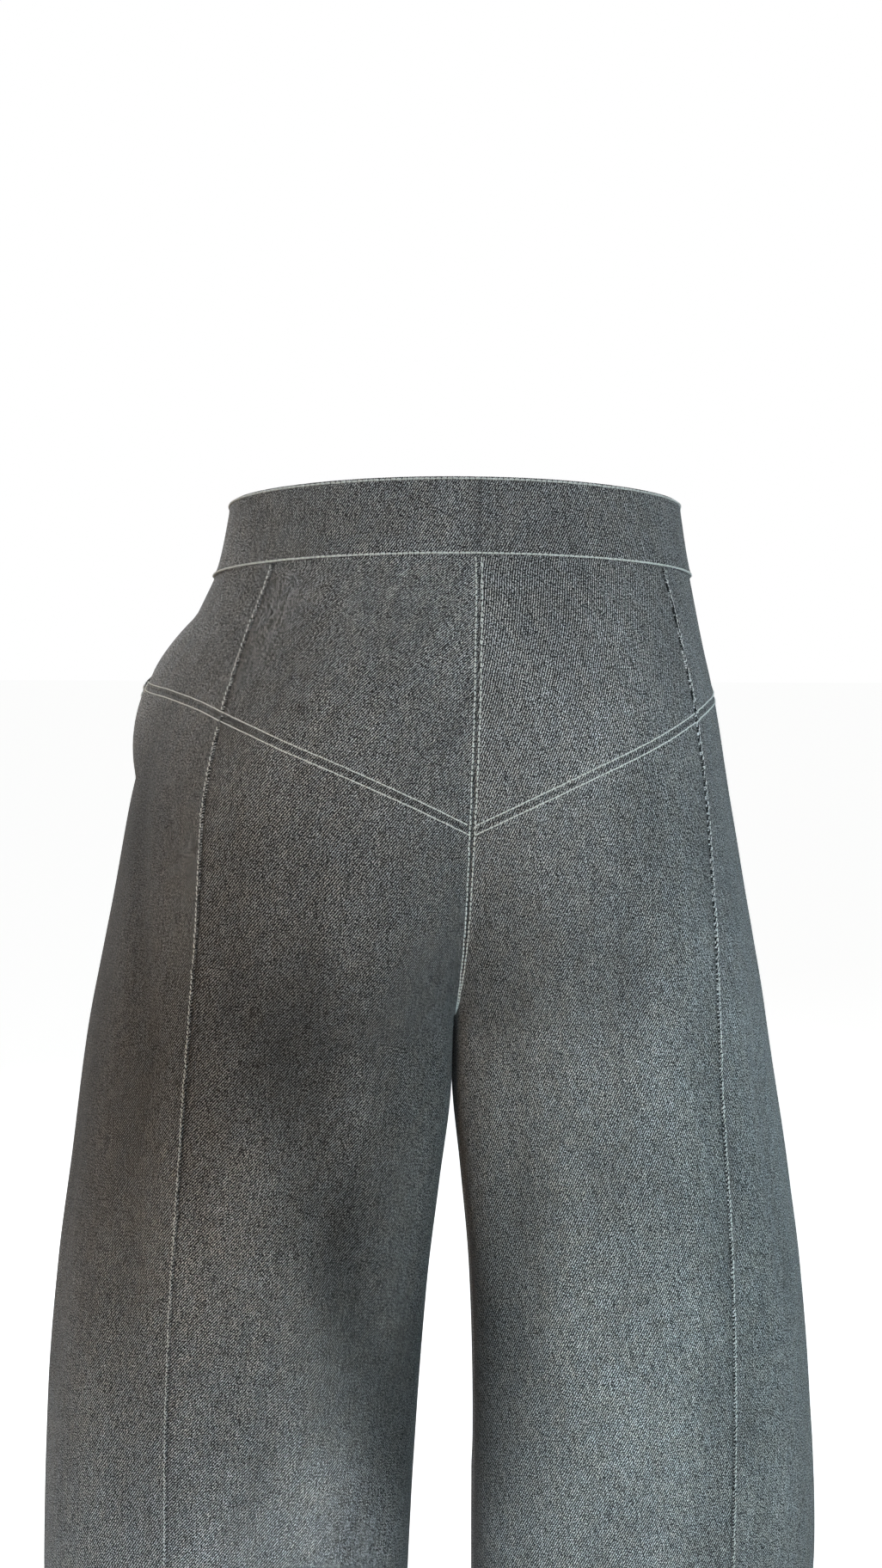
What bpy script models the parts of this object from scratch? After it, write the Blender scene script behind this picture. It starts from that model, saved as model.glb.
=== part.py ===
"""Barrel jeans: a high-waist pair with a deep V yoke, side panels and legs that bow out to the knee.

The cloth keeps the hollow shape it has when worn. It faces -Y, the wearer's left is +X and +Z is up.
The origin is the centre of the waist opening, level with the band's top edge at centre back.
Lengths in the tables are millimetres; the finished meshes are in metres.
"""
import math
from functools import lru_cache

import bmesh
import bpy
import numpy as np
from mathutils import Matrix, Vector

MM = 0.001
COLLECTION = "barrel_jeans"

# Driving sizes
GAP = 0.3                 # clearance between two pieces that a seam joins
CLOTH = 1.5               # denim with its seam allowances pressed flat
HEM_CLOTH = 3.0           # the turned-up hem
HEM_DEPTH = 26.0
HEM_STEP = 1.0            # half the height over which the hem's fold ends
BAND_CLOTH = 2.7          # two layers of denim and the allowances between them
BAND_HEIGHT = 42.0
BAND_PROUD = 0.8          # how far the band's face stands out from the panels below it
WAIST_DIP = 22.0          # how much lower the band sits at centre front than at centre back
HEM_LEVEL = -1000.0
CROTCH_LEVEL = -305.0

# The garment's half on one side, seen from above at a row of levels. outer: the widest point.
# inner_front and inner_back: how near the half's round comes to the middle plane, negative where
# the plane cuts it off. outer_y and inner_y: where the round is widest and where it turns inside.
# front_y and back_y: its foremost and rearmost points.
SECTION = [(name, float) for name in (
    "level", "outer", "inner_front", "inner_back", "outer_y", "inner_y", "front_y", "back_y")]
SECTIONS = np.array([
    (0, 127, -127, -127, 0, 0, -88, 92),
    (-45, 136, -136, -130, -8, 0, -95, 99),
    (-65, 144, -144, -122, -26, 0, -99, 104),
    (-100, 158.5, -150, -106, -52, 0, -105, 112),
    (-125, 166.5, -148, -92, -58, 0, -108, 117),
    (-180, 179, -118, -60, -60, 0, -111, 122),
    (-240, 190, -52, -28, -60, 10, -112, 120),
    (-265, 195, -26, -15.5, -59, 16, -112, 115),
    (-285, 199, -9.5, -6, -57, 21, -112.5, 110),
    (CROTCH_LEVEL, 203, 0.15, 0.15, -56, 26, -113, 104),
    (-345, 210, 1.5, 1.5, -54, 30, -114, 97),
    (-400, 218.5, 7.5, 7.5, -50, 30, -115, 91),
    (-460, 227, 13.5, 13.5, -45, 28, -115, 86),
    (-540, 234, 17.5, 17.5, -38, 20, -113, 80),
    (-640, 237.5, 20.2, 20.2, -28, 8, -107, 74),
    (-760, 223, 22.4, 22.4, -18, 2, -95, 69),
    (-880, 196, 24, 24, -8, 0, -77, 65),
    (HEM_LEVEL, 169, 26, 26, 0, 0, -58, 60),
], dtype=SECTION)
SQUARENESS = 2.2          # 2 would be an ellipse
RING_STEPS = 180

# How the garment hangs from its waist: its middle stands this far towards the wearer's left, and
# the left half is wider and the right one narrower by this share.
HANG = [("level", float), ("shift", float), ("wider", float)]
HANGS = np.array([
    (0, 0, 0),
    (-45, 0, 0),
    (-100, 1.5, 0.015),
    (-188, 3.5, 0.034),
    (CROTCH_LEVEL, 3.0, 0.033),
    (-400, 3.5, 0.018),
    (-540, 4.5, 0.008),
    (-640, 5.5, 0),
    (-760, 6, 0),
    (HEM_LEVEL, 6, 0),
], dtype=HANG)

# How far the two long panel seams of a half run from the middle plane.
SEAM = [("level", float), ("front", float), ("back", float)]
SEAMS = np.array([
    (0, 98, 99),
    (-45, 103, 107),
    (-85, 112, 119),
    (-125, 121, 129),
    (-180, 131, 137),
    (-240, 139, 141),
    (CROTCH_LEVEL, 145, 146),
    (-400, 152, 154),
    (-460, 156, 158),
    (-540, 160, 161),
    (-640, 160, 162),
    (-760, 152, 154),
    (-880, 138, 140),
    (HEM_LEVEL, 122, 124),
], dtype=SEAM)

# A place on a half is a share of the way round it: 0 is centre front or the inseam, 0.5 the widest
# side, 1 centre back or the inseam again. This is the line under the yoke, from the front panel seam
# over the pocket mouth and the bar tack at the side to the point of the V at centre back.
YOKE = [("share", float), ("level", float)]
YOKE_LINE = np.array([
    (0.27, -82),
    (0.36, -90),
    (0.44, -103),
    (0.52, -116),
    (0.62, -119),
    (0.70, -123),
    (0.76, -130),
    (0.86, -149),
    (0.93, -167),
    (1.00, -188),
], dtype=YOKE)

# The largest folds. Each runs down through three places on the half, given as share and level.
# depth is negative for a trough; half_width is across the fold.
FOLD = [("side", float), ("top", float), ("top_share", float), ("mid", float), ("mid_share", float),
        ("foot", float), ("foot_share", float), ("depth", float), ("half_width", float)]
LEFT, RIGHT = 1.0, -1.0
FOLDS = np.array([
    (LEFT, -190, 0.850, -344, 0.838, -600, 0.955, -6.5, 21),
    (LEFT, -180, 0.787, -300, 0.797, -440, 0.838, -4.0, 19),
    (LEFT, -130, 0.600, -268, 0.694, -640, 0.690, -3.5, 17),
    (LEFT, -75, 0.500, -108, 0.500, -170, 0.500, 11.0, 60),
    (LEFT, -300, 0.890, -450, 0.885, -640, 0.860, 2.5, 34),
    (LEFT, -215, 0.130, -360, 0.150, -600, 0.060, -5.5, 21),
    (LEFT, -250, 0.220, -400, 0.215, -560, 0.180, -3.0, 18),
    (RIGHT, -205, 0.975, -326, 0.915, -600, 0.955, -5.0, 18),
    (RIGHT, -190, 0.862, -322, 0.846, -450, 0.866, -4.0, 19),
    (RIGHT, -180, 0.762, -300, 0.752, -560, 0.706, -3.0, 18),
    (RIGHT, -300, 0.800, -480, 0.830, -660, 0.850, 3.0, 40),
    (RIGHT, -205, 0.100, -330, 0.110, -590, 0.055, -5.0, 19),
    (RIGHT, -240, 0.205, -420, 0.200, -580, 0.160, -3.5, 20),
], dtype=FOLD)
WIDTH_PER_SHARE = 650.0   # cloth round one half, to measure across a fold
FOLD_FADE = 0.8           # below 1 a fold keeps its depth nearer to its ends
SEAM_HOLD = 12.0          # folds flatten out over this width beside the middle seams
PROBE = 2.0               # distance over which the run of the surface is measured
SHARE_PROBE = 0.006

# How many strips each stretch of cloth is divided into
BACK_STRIPS = 8
SIDE_STRIPS = 10
FRONT_STRIPS = 8
LEG_BANDS = 16
SEAT_BANDS = 8
CROTCH_CROWDING = 1.7     # the rows draw together towards the crotch
YOKE_BANDS = 4
BAND_BANDS = 2
EVEN_WIDTH = 130.0        # a panel's strips share out this width evenly, and the rest by the middle
ROW_ROUNDS = 6            # a slanting row's level and share are settled in a few rounds
BAND_STRIPS = 22          # on each side
UNDERLAP_STRIPS = 4
FLY_STRIPS = 4
ZIP_STRIPS = 3

# Fly and waist closure, at centre front
FLY_WIDTH = 38.0
FLY_CORNER = 0.5          # share of its width left at the foot of the facing
FLY_ROWS = 9              # rows of the front panel that the facing and the zip lie behind
LAYER_GAP = 0.5           # clearance between layers that lie on each other
ZIP_REACH_LEFT = 26.0
ZIP_REACH_RIGHT = 10.0
ZIP_ROWS = 8
ZIP_TAPE = 1.2
UNDERLAP = 36.0
UNDERLAP_STEP = 3.2       # how far behind the outer end the underlap lies
STEP_SHARE = 0.22         # over this share of the right half the band steps inwards
NEAR_FRONT = 0.03         # the share at which widths beside centre front are measured
BUTTON_X = 17.0
BUTTON_RADIUS = 8.5
BUTTON_HEIGHT = 3.0
BUTTON_STEPS = 32
BUTTON_WELD = 0.1 * MM
BUTTON = [("radius", float), ("height", float)]
BUTTON_PROFILE = np.array([   # shares of the radius and the height, from the middle of the face
    (0.00, 0.72),
    (0.50, 0.72),
    (0.62, 1.00),
    (0.86, 1.00),
    (1.00, 0.68),
    (1.00, 0.25),
    (0.88, 0.00),
    (0.00, 0.00),
], dtype=BUTTON)
SLIDER_WIDTH = 8.0
SLIDER_HEIGHT = 12.0
SLIDER_DEPTH = 2.4
TAB_WIDTH = 5.0
TAB_HEIGHT = 20.0
TAB_CLOTH = 1.2
SLIDER_X = 12.0
SLIDER_DROP = 12.0
SOFT_EDGE = 0.4
TAB_SINK = 0.3            # how far the pull tab sinks into the slider it is joined to

SHARP_ANGLE = math.radians(40)
DENIM_COLOUR = (0.075, 0.078, 0.084)
METAL_COLOUR = (0.42, 0.40, 0.37)
TAPE_COLOUR = (0.03, 0.03, 0.035)
CLOTH_ROUGHNESS = 0.9
METAL_ROUGHNESS = 0.35


def smooth_column(table, key, column, at):
    """Monotone cubic through one column of a table, read at a value of its key."""
    order = np.argsort(table[key])
    keys = table[key][order]
    values = table[column][order]
    steps = np.diff(keys)
    slopes = np.diff(values) / steps
    tangents = np.zeros(len(keys))
    tangents[0] = slopes[0]
    tangents[-1] = slopes[-1]
    for i in range(1, len(keys) - 1):
        if slopes[i - 1] * slopes[i] > 0:
            before = 2 * steps[i] + steps[i - 1]
            after = steps[i] + 2 * steps[i - 1]
            tangents[i] = (before + after) / (before / slopes[i - 1] + after / slopes[i])
    at = min(max(at, keys[0]), keys[-1])
    i = min(max(int(np.searchsorted(keys, at)) - 1, 0), len(steps) - 1)
    t = (at - keys[i]) / steps[i]
    return (values[i] * (1 + 2 * t) * (1 - t) ** 2 + tangents[i] * steps[i] * t * (1 - t) ** 2
            + values[i + 1] * t * t * (3 - 2 * t) + tangents[i + 1] * steps[i] * t * t * (t - 1))


def ease(t):
    """0 to 1 with level ends."""
    t = min(max(t, 0.0), 1.0)
    return t * t * (3 - 2 * t)


@lru_cache(maxsize=None)
def half_ring(level):
    """The front and back curves of one half at a level, each from the middle to the widest side."""
    size = {name: smooth_column(SECTIONS, "level", name, level) for name, _ in SECTION[1:]}
    curves = []
    for inner, far_y in ((size["inner_front"], size["front_y"]), (size["inner_back"], size["back_y"])):
        inner = max(inner, -size["outer"])
        middle = (size["outer"] + inner) / 2
        radius = (size["outer"] - inner) / 2
        cut = min(max((middle - GAP / 2) / radius, 0.0), 1.0)
        start = math.acos(cut ** (SQUARENESS / 2))
        angle = np.linspace(start, math.pi, RING_STEPS + 1)
        c = np.cos(angle)
        s = np.abs(np.sin(angle))
        x = middle - radius * np.sign(c) * np.abs(c) ** (2 / SQUARENESS)
        reach = np.clip((x - max(inner, 0)) / (size["outer"] - max(inner, 0)), 0, 1)
        axis_y = size["inner_y"] + (size["outer_y"] - size["inner_y"]) * reach
        y = axis_y + (far_y - axis_y) * s ** (2 / SQUARENESS)
        length = np.concatenate([[0.0], np.cumsum(np.hypot(np.diff(x), np.diff(y)))])
        curves.append((x, y, length))
    return curves


def fold_height(side, share, level):
    """How far the folds move the cloth out of its plain round."""
    height = 0.0
    for fold in FOLDS:
        if fold["side"] != side or not fold["foot"] < level < fold["top"]:
            continue
        line = np.interp(level, (fold["foot"], fold["mid"], fold["top"]),
                         (fold["foot_share"], fold["mid_share"], fold["top_share"]))
        across = (share - line) * WIDTH_PER_SHARE / fold["half_width"]
        along = (level - fold["foot"]) / (fold["top"] - fold["foot"])
        fade = math.sin(math.pi * along) ** FOLD_FADE
        height += fold["depth"] * fade * math.exp(-across * across)
    return height


@lru_cache(maxsize=None)
def cloth_point(side, share, level):
    """A point on the outer face of the cloth, in millimetres."""
    front, back = half_ring(level)
    near_front = share <= 0.5
    x, y, length = front if near_front else back
    along = 2 * length[-1] * (share if near_front else 1 - share)
    here = np.array([np.interp(along, length, x), np.interp(along, length, y)])
    ahead = min(along + PROBE, length[-1])
    behind = max(along - PROBE, 0.0)
    run = np.array([np.interp(ahead, length, x) - np.interp(behind, length, x),
                    np.interp(ahead, length, y) - np.interp(behind, length, y)])
    run /= np.hypot(*run)
    outward = np.array([run[1], -run[0]]) if near_front else np.array([-run[1], run[0]])
    here = here + outward * fold_height(side, share, level) * min(1.0, along / SEAM_HOLD)
    widened = side + smooth_column(HANGS, "level", "wider", level)
    return np.array([widened * here[0] + smooth_column(HANGS, "level", "shift", level), here[1], level])


def cloth_normal(side, share, level):
    """The outward direction of the cloth at a point."""
    round_run = (cloth_point(side, min(share + SHARE_PROBE, 1.0), level)
                 - cloth_point(side, max(share - SHARE_PROBE, 0.0), level))
    up_run = (cloth_point(side, share, min(level + PROBE, 0.0))
              - cloth_point(side, share, max(level - PROBE, HEM_LEVEL)))
    normal = np.cross(round_run, up_run) * side
    return normal / np.linalg.norm(normal)


def seam_share(which, level):
    """The share at which a panel seam crosses a level."""
    x, _, length = half_ring(level)[0 if which == "front" else 1]
    along = np.interp(smooth_column(SEAMS, "level", which, level), x, length) / length[-1] / 2
    return along if which == "front" else 1 - along


def share_width(side, share, level):
    """Millimetres of cloth for one whole share, near a place."""
    low = max(share - SHARE_PROBE, 0.0)
    high = min(share + SHARE_PROBE, 1.0)
    run = cloth_point(side, high, level) - cloth_point(side, low, level)
    return np.linalg.norm(run) / (high - low)


def band_top(share):
    return -WAIST_DIP * (1 + math.cos(math.pi * share)) / 2


def band_bottom(share):
    return band_top(share) - BAND_HEIGHT


def yoke_level(share):
    return smooth_column(YOKE_LINE, "share", "level", share)


def leg_levels():
    """Levels of the leg's rows, hem first, with a step where the turned-up hem ends."""
    hem_top = HEM_LEVEL + HEM_DEPTH
    rows = [HEM_LEVEL, hem_top - HEM_STEP, hem_top + HEM_STEP]
    for i in range(1, LEG_BANDS):
        rows.append(hem_top + (CROTCH_LEVEL - hem_top) * i / LEG_BANDS)
    return rows


def rows_between(lower, upper, bands, from_gap, to_gap, crowding=1.0):
    """Row functions from one line to another; each takes a share and gives a level."""
    rows = []
    for i in range(bands + 1):
        t = (i / bands) ** crowding
        lift = GAP / 2 if i == 0 and from_gap else 0.0
        drop = GAP / 2 if i == bands and to_gap else 0.0
        rows.append(lambda share, t=t, lift=lift, drop=drop:
                    lower(share) * (1 - t) + upper(share) * t + lift - drop)
    return rows


def leg_rows():
    return [lambda share, level=level: level for level in leg_levels()]


def along_cloth(low, high, t, level):
    """The share that lies a part t of the way, in cloth, from one share to another at a level.

    A panel that ends at the middle keeps its strips even beside its seam, so that the crotch's
    extension is taken up next to the middle.
    """
    front, back = half_ring(level)
    spans = (2 * front[2][-1], 2 * back[2][-1])
    start = (low - 0.5) * spans[0 if low < 0.5 else 1]
    end = (high - 0.5) * spans[0 if high < 0.5 else 1]
    width = end - start
    even = min(width, EVEN_WIDTH)
    if low == 0.0:
        here = end - (even * (1 - t) + (width - even) * (1 - t) ** 3)
    elif high == 1.0:
        here = start + even * t + (width - even) * t ** 3
    else:
        here = start + width * t
    return 0.5 + here / spans[0 if here < 0 else 1]


def grid_of_places(side, rows, left_edge, right_edge, strips):
    """Share and level of each grid point between two seams, kept half a gap inside the edges."""
    places = []
    for row in rows:
        line = []
        for j in range(strips + 1):
            share = 0.5
            for _ in range(ROW_ROUNDS):
                level = row(share)
                share = along_cloth(left_edge(level), right_edge(level), j / strips, level)
            level = row(share)
            half_gap = GAP / 2 / share_width(side, share, level)
            if j == 0:
                share += half_gap
            if j == strips:
                share -= half_gap
            line.append((share, level))
        places.append(line)
    return places


def wall(name, outer, inner, material, flip):
    """A closed wall lofted between a grid of outer points and a grid of inner ones."""
    rows = len(outer)
    columns = len(outer[0])
    bm = bmesh.new()
    out = [[bm.verts.new(p * MM) for p in row] for row in outer]
    ins = [[bm.verts.new(p * MM) for p in row] for row in inner]
    for i in range(rows - 1):
        for j in range(columns - 1):
            bm.faces.new((out[i][j], out[i][j + 1], out[i + 1][j + 1], out[i + 1][j]))
            bm.faces.new((ins[i][j], ins[i + 1][j], ins[i + 1][j + 1], ins[i][j + 1]))
    rim = [(0, j) for j in range(columns)]
    rim += [(i, columns - 1) for i in range(1, rows)]
    rim += [(rows - 1, j) for j in range(columns - 2, -1, -1)]
    rim += [(i, 0) for i in range(rows - 2, 0, -1)]
    for (i, j), (k, m) in zip(rim, rim[1:] + rim[:1]):
        bm.faces.new((out[k][m], out[i][j], ins[i][j], ins[k][m]))
    if flip:
        bmesh.ops.reverse_faces(bm, faces=bm.faces)
    bmesh.ops.triangulate(bm, faces=bm.faces)
    return finish_mesh(name, bm, material)


def finish_mesh(name, bm, material):
    mesh = bpy.data.meshes.new(name)
    bm.to_mesh(mesh)
    bm.free()
    mesh.materials.append(material)
    mesh.shade_smooth()
    mesh.set_sharp_from_angle(angle=SHARP_ANGLE)
    piece = bpy.data.objects.new(name, mesh)
    bpy.data.collections[COLLECTION].objects.link(piece)
    return piece


def cloth_wall(name, side, places, thickness_at, material):
    """A panel's wall; returns its outer points and their directions for what lies behind it."""
    points = np.array([[cloth_point(side, *place) for place in line] for line in places])
    normals = np.array([[cloth_normal(side, *place) for place in line] for line in places])
    thickness = np.array([[thickness_at(level) for _, level in line] for line in places])
    wall(name, points, points - normals * thickness[:, :, None], material, flip=side < 0)
    return points, normals


def leg_thickness(level):
    return HEM_CLOTH if level < HEM_LEVEL + HEM_DEPTH else CLOTH


def plain_thickness(level):
    return CLOTH


def make_material(name, colour, roughness, metallic):
    material = bpy.data.materials.new(name)
    material.use_nodes = True
    shader = material.node_tree.nodes["Principled BSDF"]
    shader.inputs["Base Color"].default_value = (*colour, 1.0)
    shader.inputs["Roughness"].default_value = roughness
    shader.inputs["Metallic"].default_value = metallic
    material.diffuse_color = (*colour, 1.0)
    return material


def denim(name):
    return make_material(name + "_denim", DENIM_COLOUR, CLOTH_ROUGHNESS, 0.0)


def metal(name):
    return make_material(name + "_metal", METAL_COLOUR, METAL_ROUGHNESS, 1.0)


def front_middle(level):
    return 0.0


def back_middle(level):
    return 1.0


def front_seam(level):
    return seam_share("front", level)


def back_seam(level):
    return seam_share("back", level)


def crotch_line(share):
    return CROTCH_LEVEL


def pocket_line(share):
    """The yoke line, carried on level across the front panel to lay out its rows."""
    return yoke_level(max(share, float(YOKE_LINE["share"][0])))


def make_half(side, label):
    """The pieces of one side, three leg panels and two upper ones; returns the front one's grids."""
    below_yoke = leg_rows() + rows_between(
        crotch_line, yoke_level, SEAT_BANDS, False, True, CROTCH_CROWDING)
    yoke = rows_between(yoke_level, band_bottom, YOKE_BANDS, True, True)
    front = leg_rows() + rows_between(
        crotch_line, pocket_line, SEAT_BANDS, False, False, CROTCH_CROWDING)
    front += rows_between(pocket_line, band_bottom, YOKE_BANDS, False, True)[1:]
    pieces = (
        ("back_leg", below_yoke, back_seam, back_middle, BACK_STRIPS, leg_thickness),
        ("back_yoke", yoke, back_seam, back_middle, BACK_STRIPS, plain_thickness),
        ("side_leg", below_yoke, front_seam, back_seam, SIDE_STRIPS, leg_thickness),
        ("side_yoke", yoke, front_seam, back_seam, SIDE_STRIPS, plain_thickness),
        ("front_leg", front, front_middle, front_seam, FRONT_STRIPS, leg_thickness),
    )
    grids = {}
    for piece, rows, low, high, strips, thickness_at in pieces:
        name = piece + "_" + label
        places = grid_of_places(side, rows, low, high, strips)
        grids[piece] = cloth_wall(name, side, places, thickness_at, denim(name))
    return grids["front_leg"]


def strip_wall(name, stations, lines, face_offset, thickness, material):
    """A wall along stations of (side, share, drop) between lines that give a level for a share."""
    outer = []
    inner = []
    for line in lines:
        outer_row = []
        inner_row = []
        for side, share, drop in stations:
            level = line(share)
            point = cloth_point(side, share, level)
            normal = cloth_normal(side, share, level)
            outer_row.append(point + normal * (face_offset - drop))
            inner_row.append(point + normal * (face_offset - drop - thickness))
        outer.append(outer_row)
        inner.append(inner_row)
    return wall(name, outer, inner, material, flip=False)


def share_at(side, distance, level):
    """The share of the place that lies a short distance from centre front along the cloth."""
    return distance / share_width(side, NEAR_FRONT, level)


def make_waistband():
    """One contoured band from the buttonhole end round the back to the underlap behind it."""
    step = 1.0 / BAND_STRIPS
    underlap_share = share_at(LEFT, UNDERLAP, band_top(0.0))
    stations = [(LEFT, i * step, 0.0) for i in range(BAND_STRIPS + 1)]
    for i in range(BAND_STRIPS - 1, -1, -1):
        share = i * step
        stations.append((RIGHT, share, UNDERLAP_STEP * (1 - ease(share / STEP_SHARE))))
    for i in range(1, UNDERLAP_STRIPS + 1):
        stations.append((LEFT, underlap_share * i / UNDERLAP_STRIPS, UNDERLAP_STEP))
    lines = rows_between(band_bottom, band_top, BAND_BANDS, True, False)
    strip_wall("waistband", stations, lines, BAND_PROUD, BAND_CLOTH, denim("waistband"))


def along_row(points, normals, distance):
    """The place and direction at a distance along a row of a panel's own points."""
    lengths = np.concatenate([[0.0], np.cumsum(np.linalg.norm(np.diff(points, axis=0), axis=1))])
    place = np.array([np.interp(distance, lengths, points[:, k]) for k in range(3)])
    normal = np.array([np.interp(distance, lengths, normals[:, k]) for k in range(3)])
    return place, normal / np.linalg.norm(normal)


def behind_front(name, fronts, rows, distances_in, depth, thickness, material):
    """A strip behind the fronts, worked out from their own rows.

    distances_in gives a row's distances from centre front; those on the right are negative.
    """
    outer = []
    inner = []
    for i in range(rows):
        outer_row = []
        inner_row = []
        for distance in distances_in(rows - 1 - i):
            points, normals = fronts["left" if distance >= 0 else "right"]
            place, normal = along_row(points[-1 - i], normals[-1 - i], abs(distance))
            outer_row.append(place - normal * depth)
            inner_row.append(place - normal * (depth + thickness))
        outer.insert(0, outer_row)
        inner.insert(0, inner_row)
    return wall(name, outer, inner, material, flip=False)


def make_fly_facing(fronts):
    """The facing behind the left front, as wide as the fly stitching, with its lower corner cut off."""
    def widths(row):
        reach = FLY_WIDTH * (FLY_CORNER if row == 0 else 1.0)
        return [GAP + (reach - GAP) * j / FLY_STRIPS for j in range(FLY_STRIPS + 1)]
    behind_front("fly_facing", fronts, FLY_ROWS, widths, CLOTH + LAYER_GAP, CLOTH, denim("fly_facing"))


def make_zip(fronts):
    """The zip's tape and closed teeth behind the facing, reaching a little past centre front."""
    def widths(row):
        on_left = [ZIP_REACH_LEFT * j / ZIP_STRIPS for j in range(1, ZIP_STRIPS + 1)]
        return [-ZIP_REACH_RIGHT, -GAP] + on_left
    tape = make_material("zip_tape", TAPE_COLOUR, CLOTH_ROUGHNESS, 0.0)
    behind_front("zip", fronts, ZIP_ROWS, widths, 2 * (CLOTH + LAYER_GAP), ZIP_TAPE, tape)


def facing_frame(side, distance, level):
    """A turn that lays X round the garment, Y up the cloth and Z straight out of it, and the place."""
    share = share_at(side, distance, level)
    out = Vector(cloth_normal(side, share, level))
    up = Vector((0.0, 0.0, 1.0))
    up = (up - out * up.dot(out)).normalized()
    across = up.cross(out)
    turn = Matrix((across, up, out)).transposed()
    return turn, Vector(cloth_point(side, share, level)) * MM


def make_button():
    """A plain metal button: a turned head with a raised rim, just outside the band's face."""
    mesh = bpy.data.meshes.new("waist_button")
    points = [(r * BUTTON_RADIUS * MM, 0.0, h * BUTTON_HEIGHT * MM) for r, h in BUTTON_PROFILE]
    mesh.from_pydata(points, [(i, i + 1) for i in range(len(points) - 1)], [])
    mesh.materials.append(metal("waist_button"))
    button = bpy.data.objects.new("waist_button", mesh)
    bpy.data.collections[COLLECTION].objects.link(button)
    turn = button.modifiers.new("turned", "SCREW")
    turn.steps = BUTTON_STEPS
    turn.render_steps = BUTTON_STEPS
    turn.use_merge_vertices = True
    turn.merge_threshold = BUTTON_WELD
    turn.use_smooth_shade = True
    level = band_top(0.0) - BAND_HEIGHT / 2
    rotation, place = facing_frame(LEFT, BUTTON_X, level)
    button.rotation_euler = rotation.to_euler()
    button.location = place + rotation @ Vector((0, 0, (BAND_PROUD + GAP) * MM))


def make_box(name, size, centre, material):
    """A box with softened edges, given by its size and centre in its own axes."""
    bm = bmesh.new()
    bmesh.ops.create_cube(bm, size=1.0)
    bmesh.ops.scale(bm, vec=Vector(size) * MM, verts=bm.verts)
    bmesh.ops.translate(bm, vec=Vector(centre) * MM, verts=bm.verts)
    box = finish_mesh(name, bm, material)
    soft = box.modifiers.new("soft_edges", "BEVEL")
    soft.width = SOFT_EDGE * MM
    soft.segments = 2
    return box


def make_zip_slider():
    """The slider closed at the top of the zip with its pull tab hanging flat against it."""
    slider_metal = metal("zip_slider")
    level = band_bottom(0.0) - SLIDER_DROP
    rotation, place = facing_frame(LEFT, SLIDER_X, level)
    behind = -2 * (CLOTH + LAYER_GAP) - ZIP_TAPE - LAYER_GAP
    body = make_box("zip_slider", (SLIDER_WIDTH, SLIDER_HEIGHT, SLIDER_DEPTH),
                    (0, 0, behind - SLIDER_DEPTH / 2), slider_metal)
    tab = make_box("pull_tab_shape", (TAB_WIDTH, TAB_HEIGHT, TAB_CLOTH),
                   (0, -TAB_HEIGHT / 2, behind - SLIDER_DEPTH - TAB_CLOTH / 2 + TAB_SINK), slider_metal)
    for piece in (body, tab):
        piece.rotation_euler = rotation.to_euler()
        piece.location = place
    tab.hide_render = True
    tab.display_type = "WIRE"
    joined = body.modifiers.new("with_tab", "BOOLEAN")
    joined.operation = "UNION"
    joined.object = tab


def clear_scene():
    for obj in list(bpy.data.objects):
        bpy.data.objects.remove(obj, do_unlink=True)
    for old in [c for c in bpy.data.collections if c.name == COLLECTION]:
        bpy.data.collections.remove(old)
    bpy.context.scene.collection.children.link(bpy.data.collections.new(COLLECTION))


def main():
    clear_scene()
    fronts = {"left": make_half(LEFT, "left"), "right": make_half(RIGHT, "right")}
    make_waistband()
    make_fly_facing(fronts)
    make_zip(fronts)
    make_zip_slider()
    make_button()


main()
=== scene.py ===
"""Barrel jeans with a deep V yoke, finished in charcoal twill with off-white topstitching.

Every panel is a thin shell on the form of its solid, cut finer where it is sewn. Tables and
shapes are in millimetres, places on the finished pieces in metres. The jeans face -Y, the
wearer's left is +X and +Z is up. A place on the cloth is a side, a share of the way round that
half (0 is centre front or the inseam, 0.5 the widest side, 1 centre back or the inseam again)
and a level below the top of the waistband.
"""

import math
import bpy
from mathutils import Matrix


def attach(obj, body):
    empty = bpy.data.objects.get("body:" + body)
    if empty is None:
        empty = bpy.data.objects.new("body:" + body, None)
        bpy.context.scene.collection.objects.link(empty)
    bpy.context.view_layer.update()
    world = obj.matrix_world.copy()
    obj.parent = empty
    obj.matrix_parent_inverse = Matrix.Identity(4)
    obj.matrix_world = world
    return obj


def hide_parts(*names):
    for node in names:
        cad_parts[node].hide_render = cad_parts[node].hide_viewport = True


bl_info = {
    "name": "Barrel Jeans",
    "version": (1, 0, 0),
    "blender": (4, 5, 0),
    "location": "3D View > Sidebar > Jeans",
    "description": "Builds a pair of denim barrel jeans with all their sewing",
    "category": "Mesh",
}

from functools import cache

import bpy
import numpy as np
from bpy.props import FloatProperty, FloatVectorProperty, PointerProperty
from mathutils import Matrix, Vector

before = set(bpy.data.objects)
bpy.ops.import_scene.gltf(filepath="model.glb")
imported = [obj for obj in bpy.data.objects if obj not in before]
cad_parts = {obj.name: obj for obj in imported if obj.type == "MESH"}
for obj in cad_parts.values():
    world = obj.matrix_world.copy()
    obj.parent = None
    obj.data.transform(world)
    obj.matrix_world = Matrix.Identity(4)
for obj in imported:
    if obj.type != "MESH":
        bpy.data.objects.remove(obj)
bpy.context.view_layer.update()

MM = 0.001
LEFT, RIGHT = 1.0, -1.0
SIDES = ((LEFT, "left"), (RIGHT, "right"))

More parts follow.
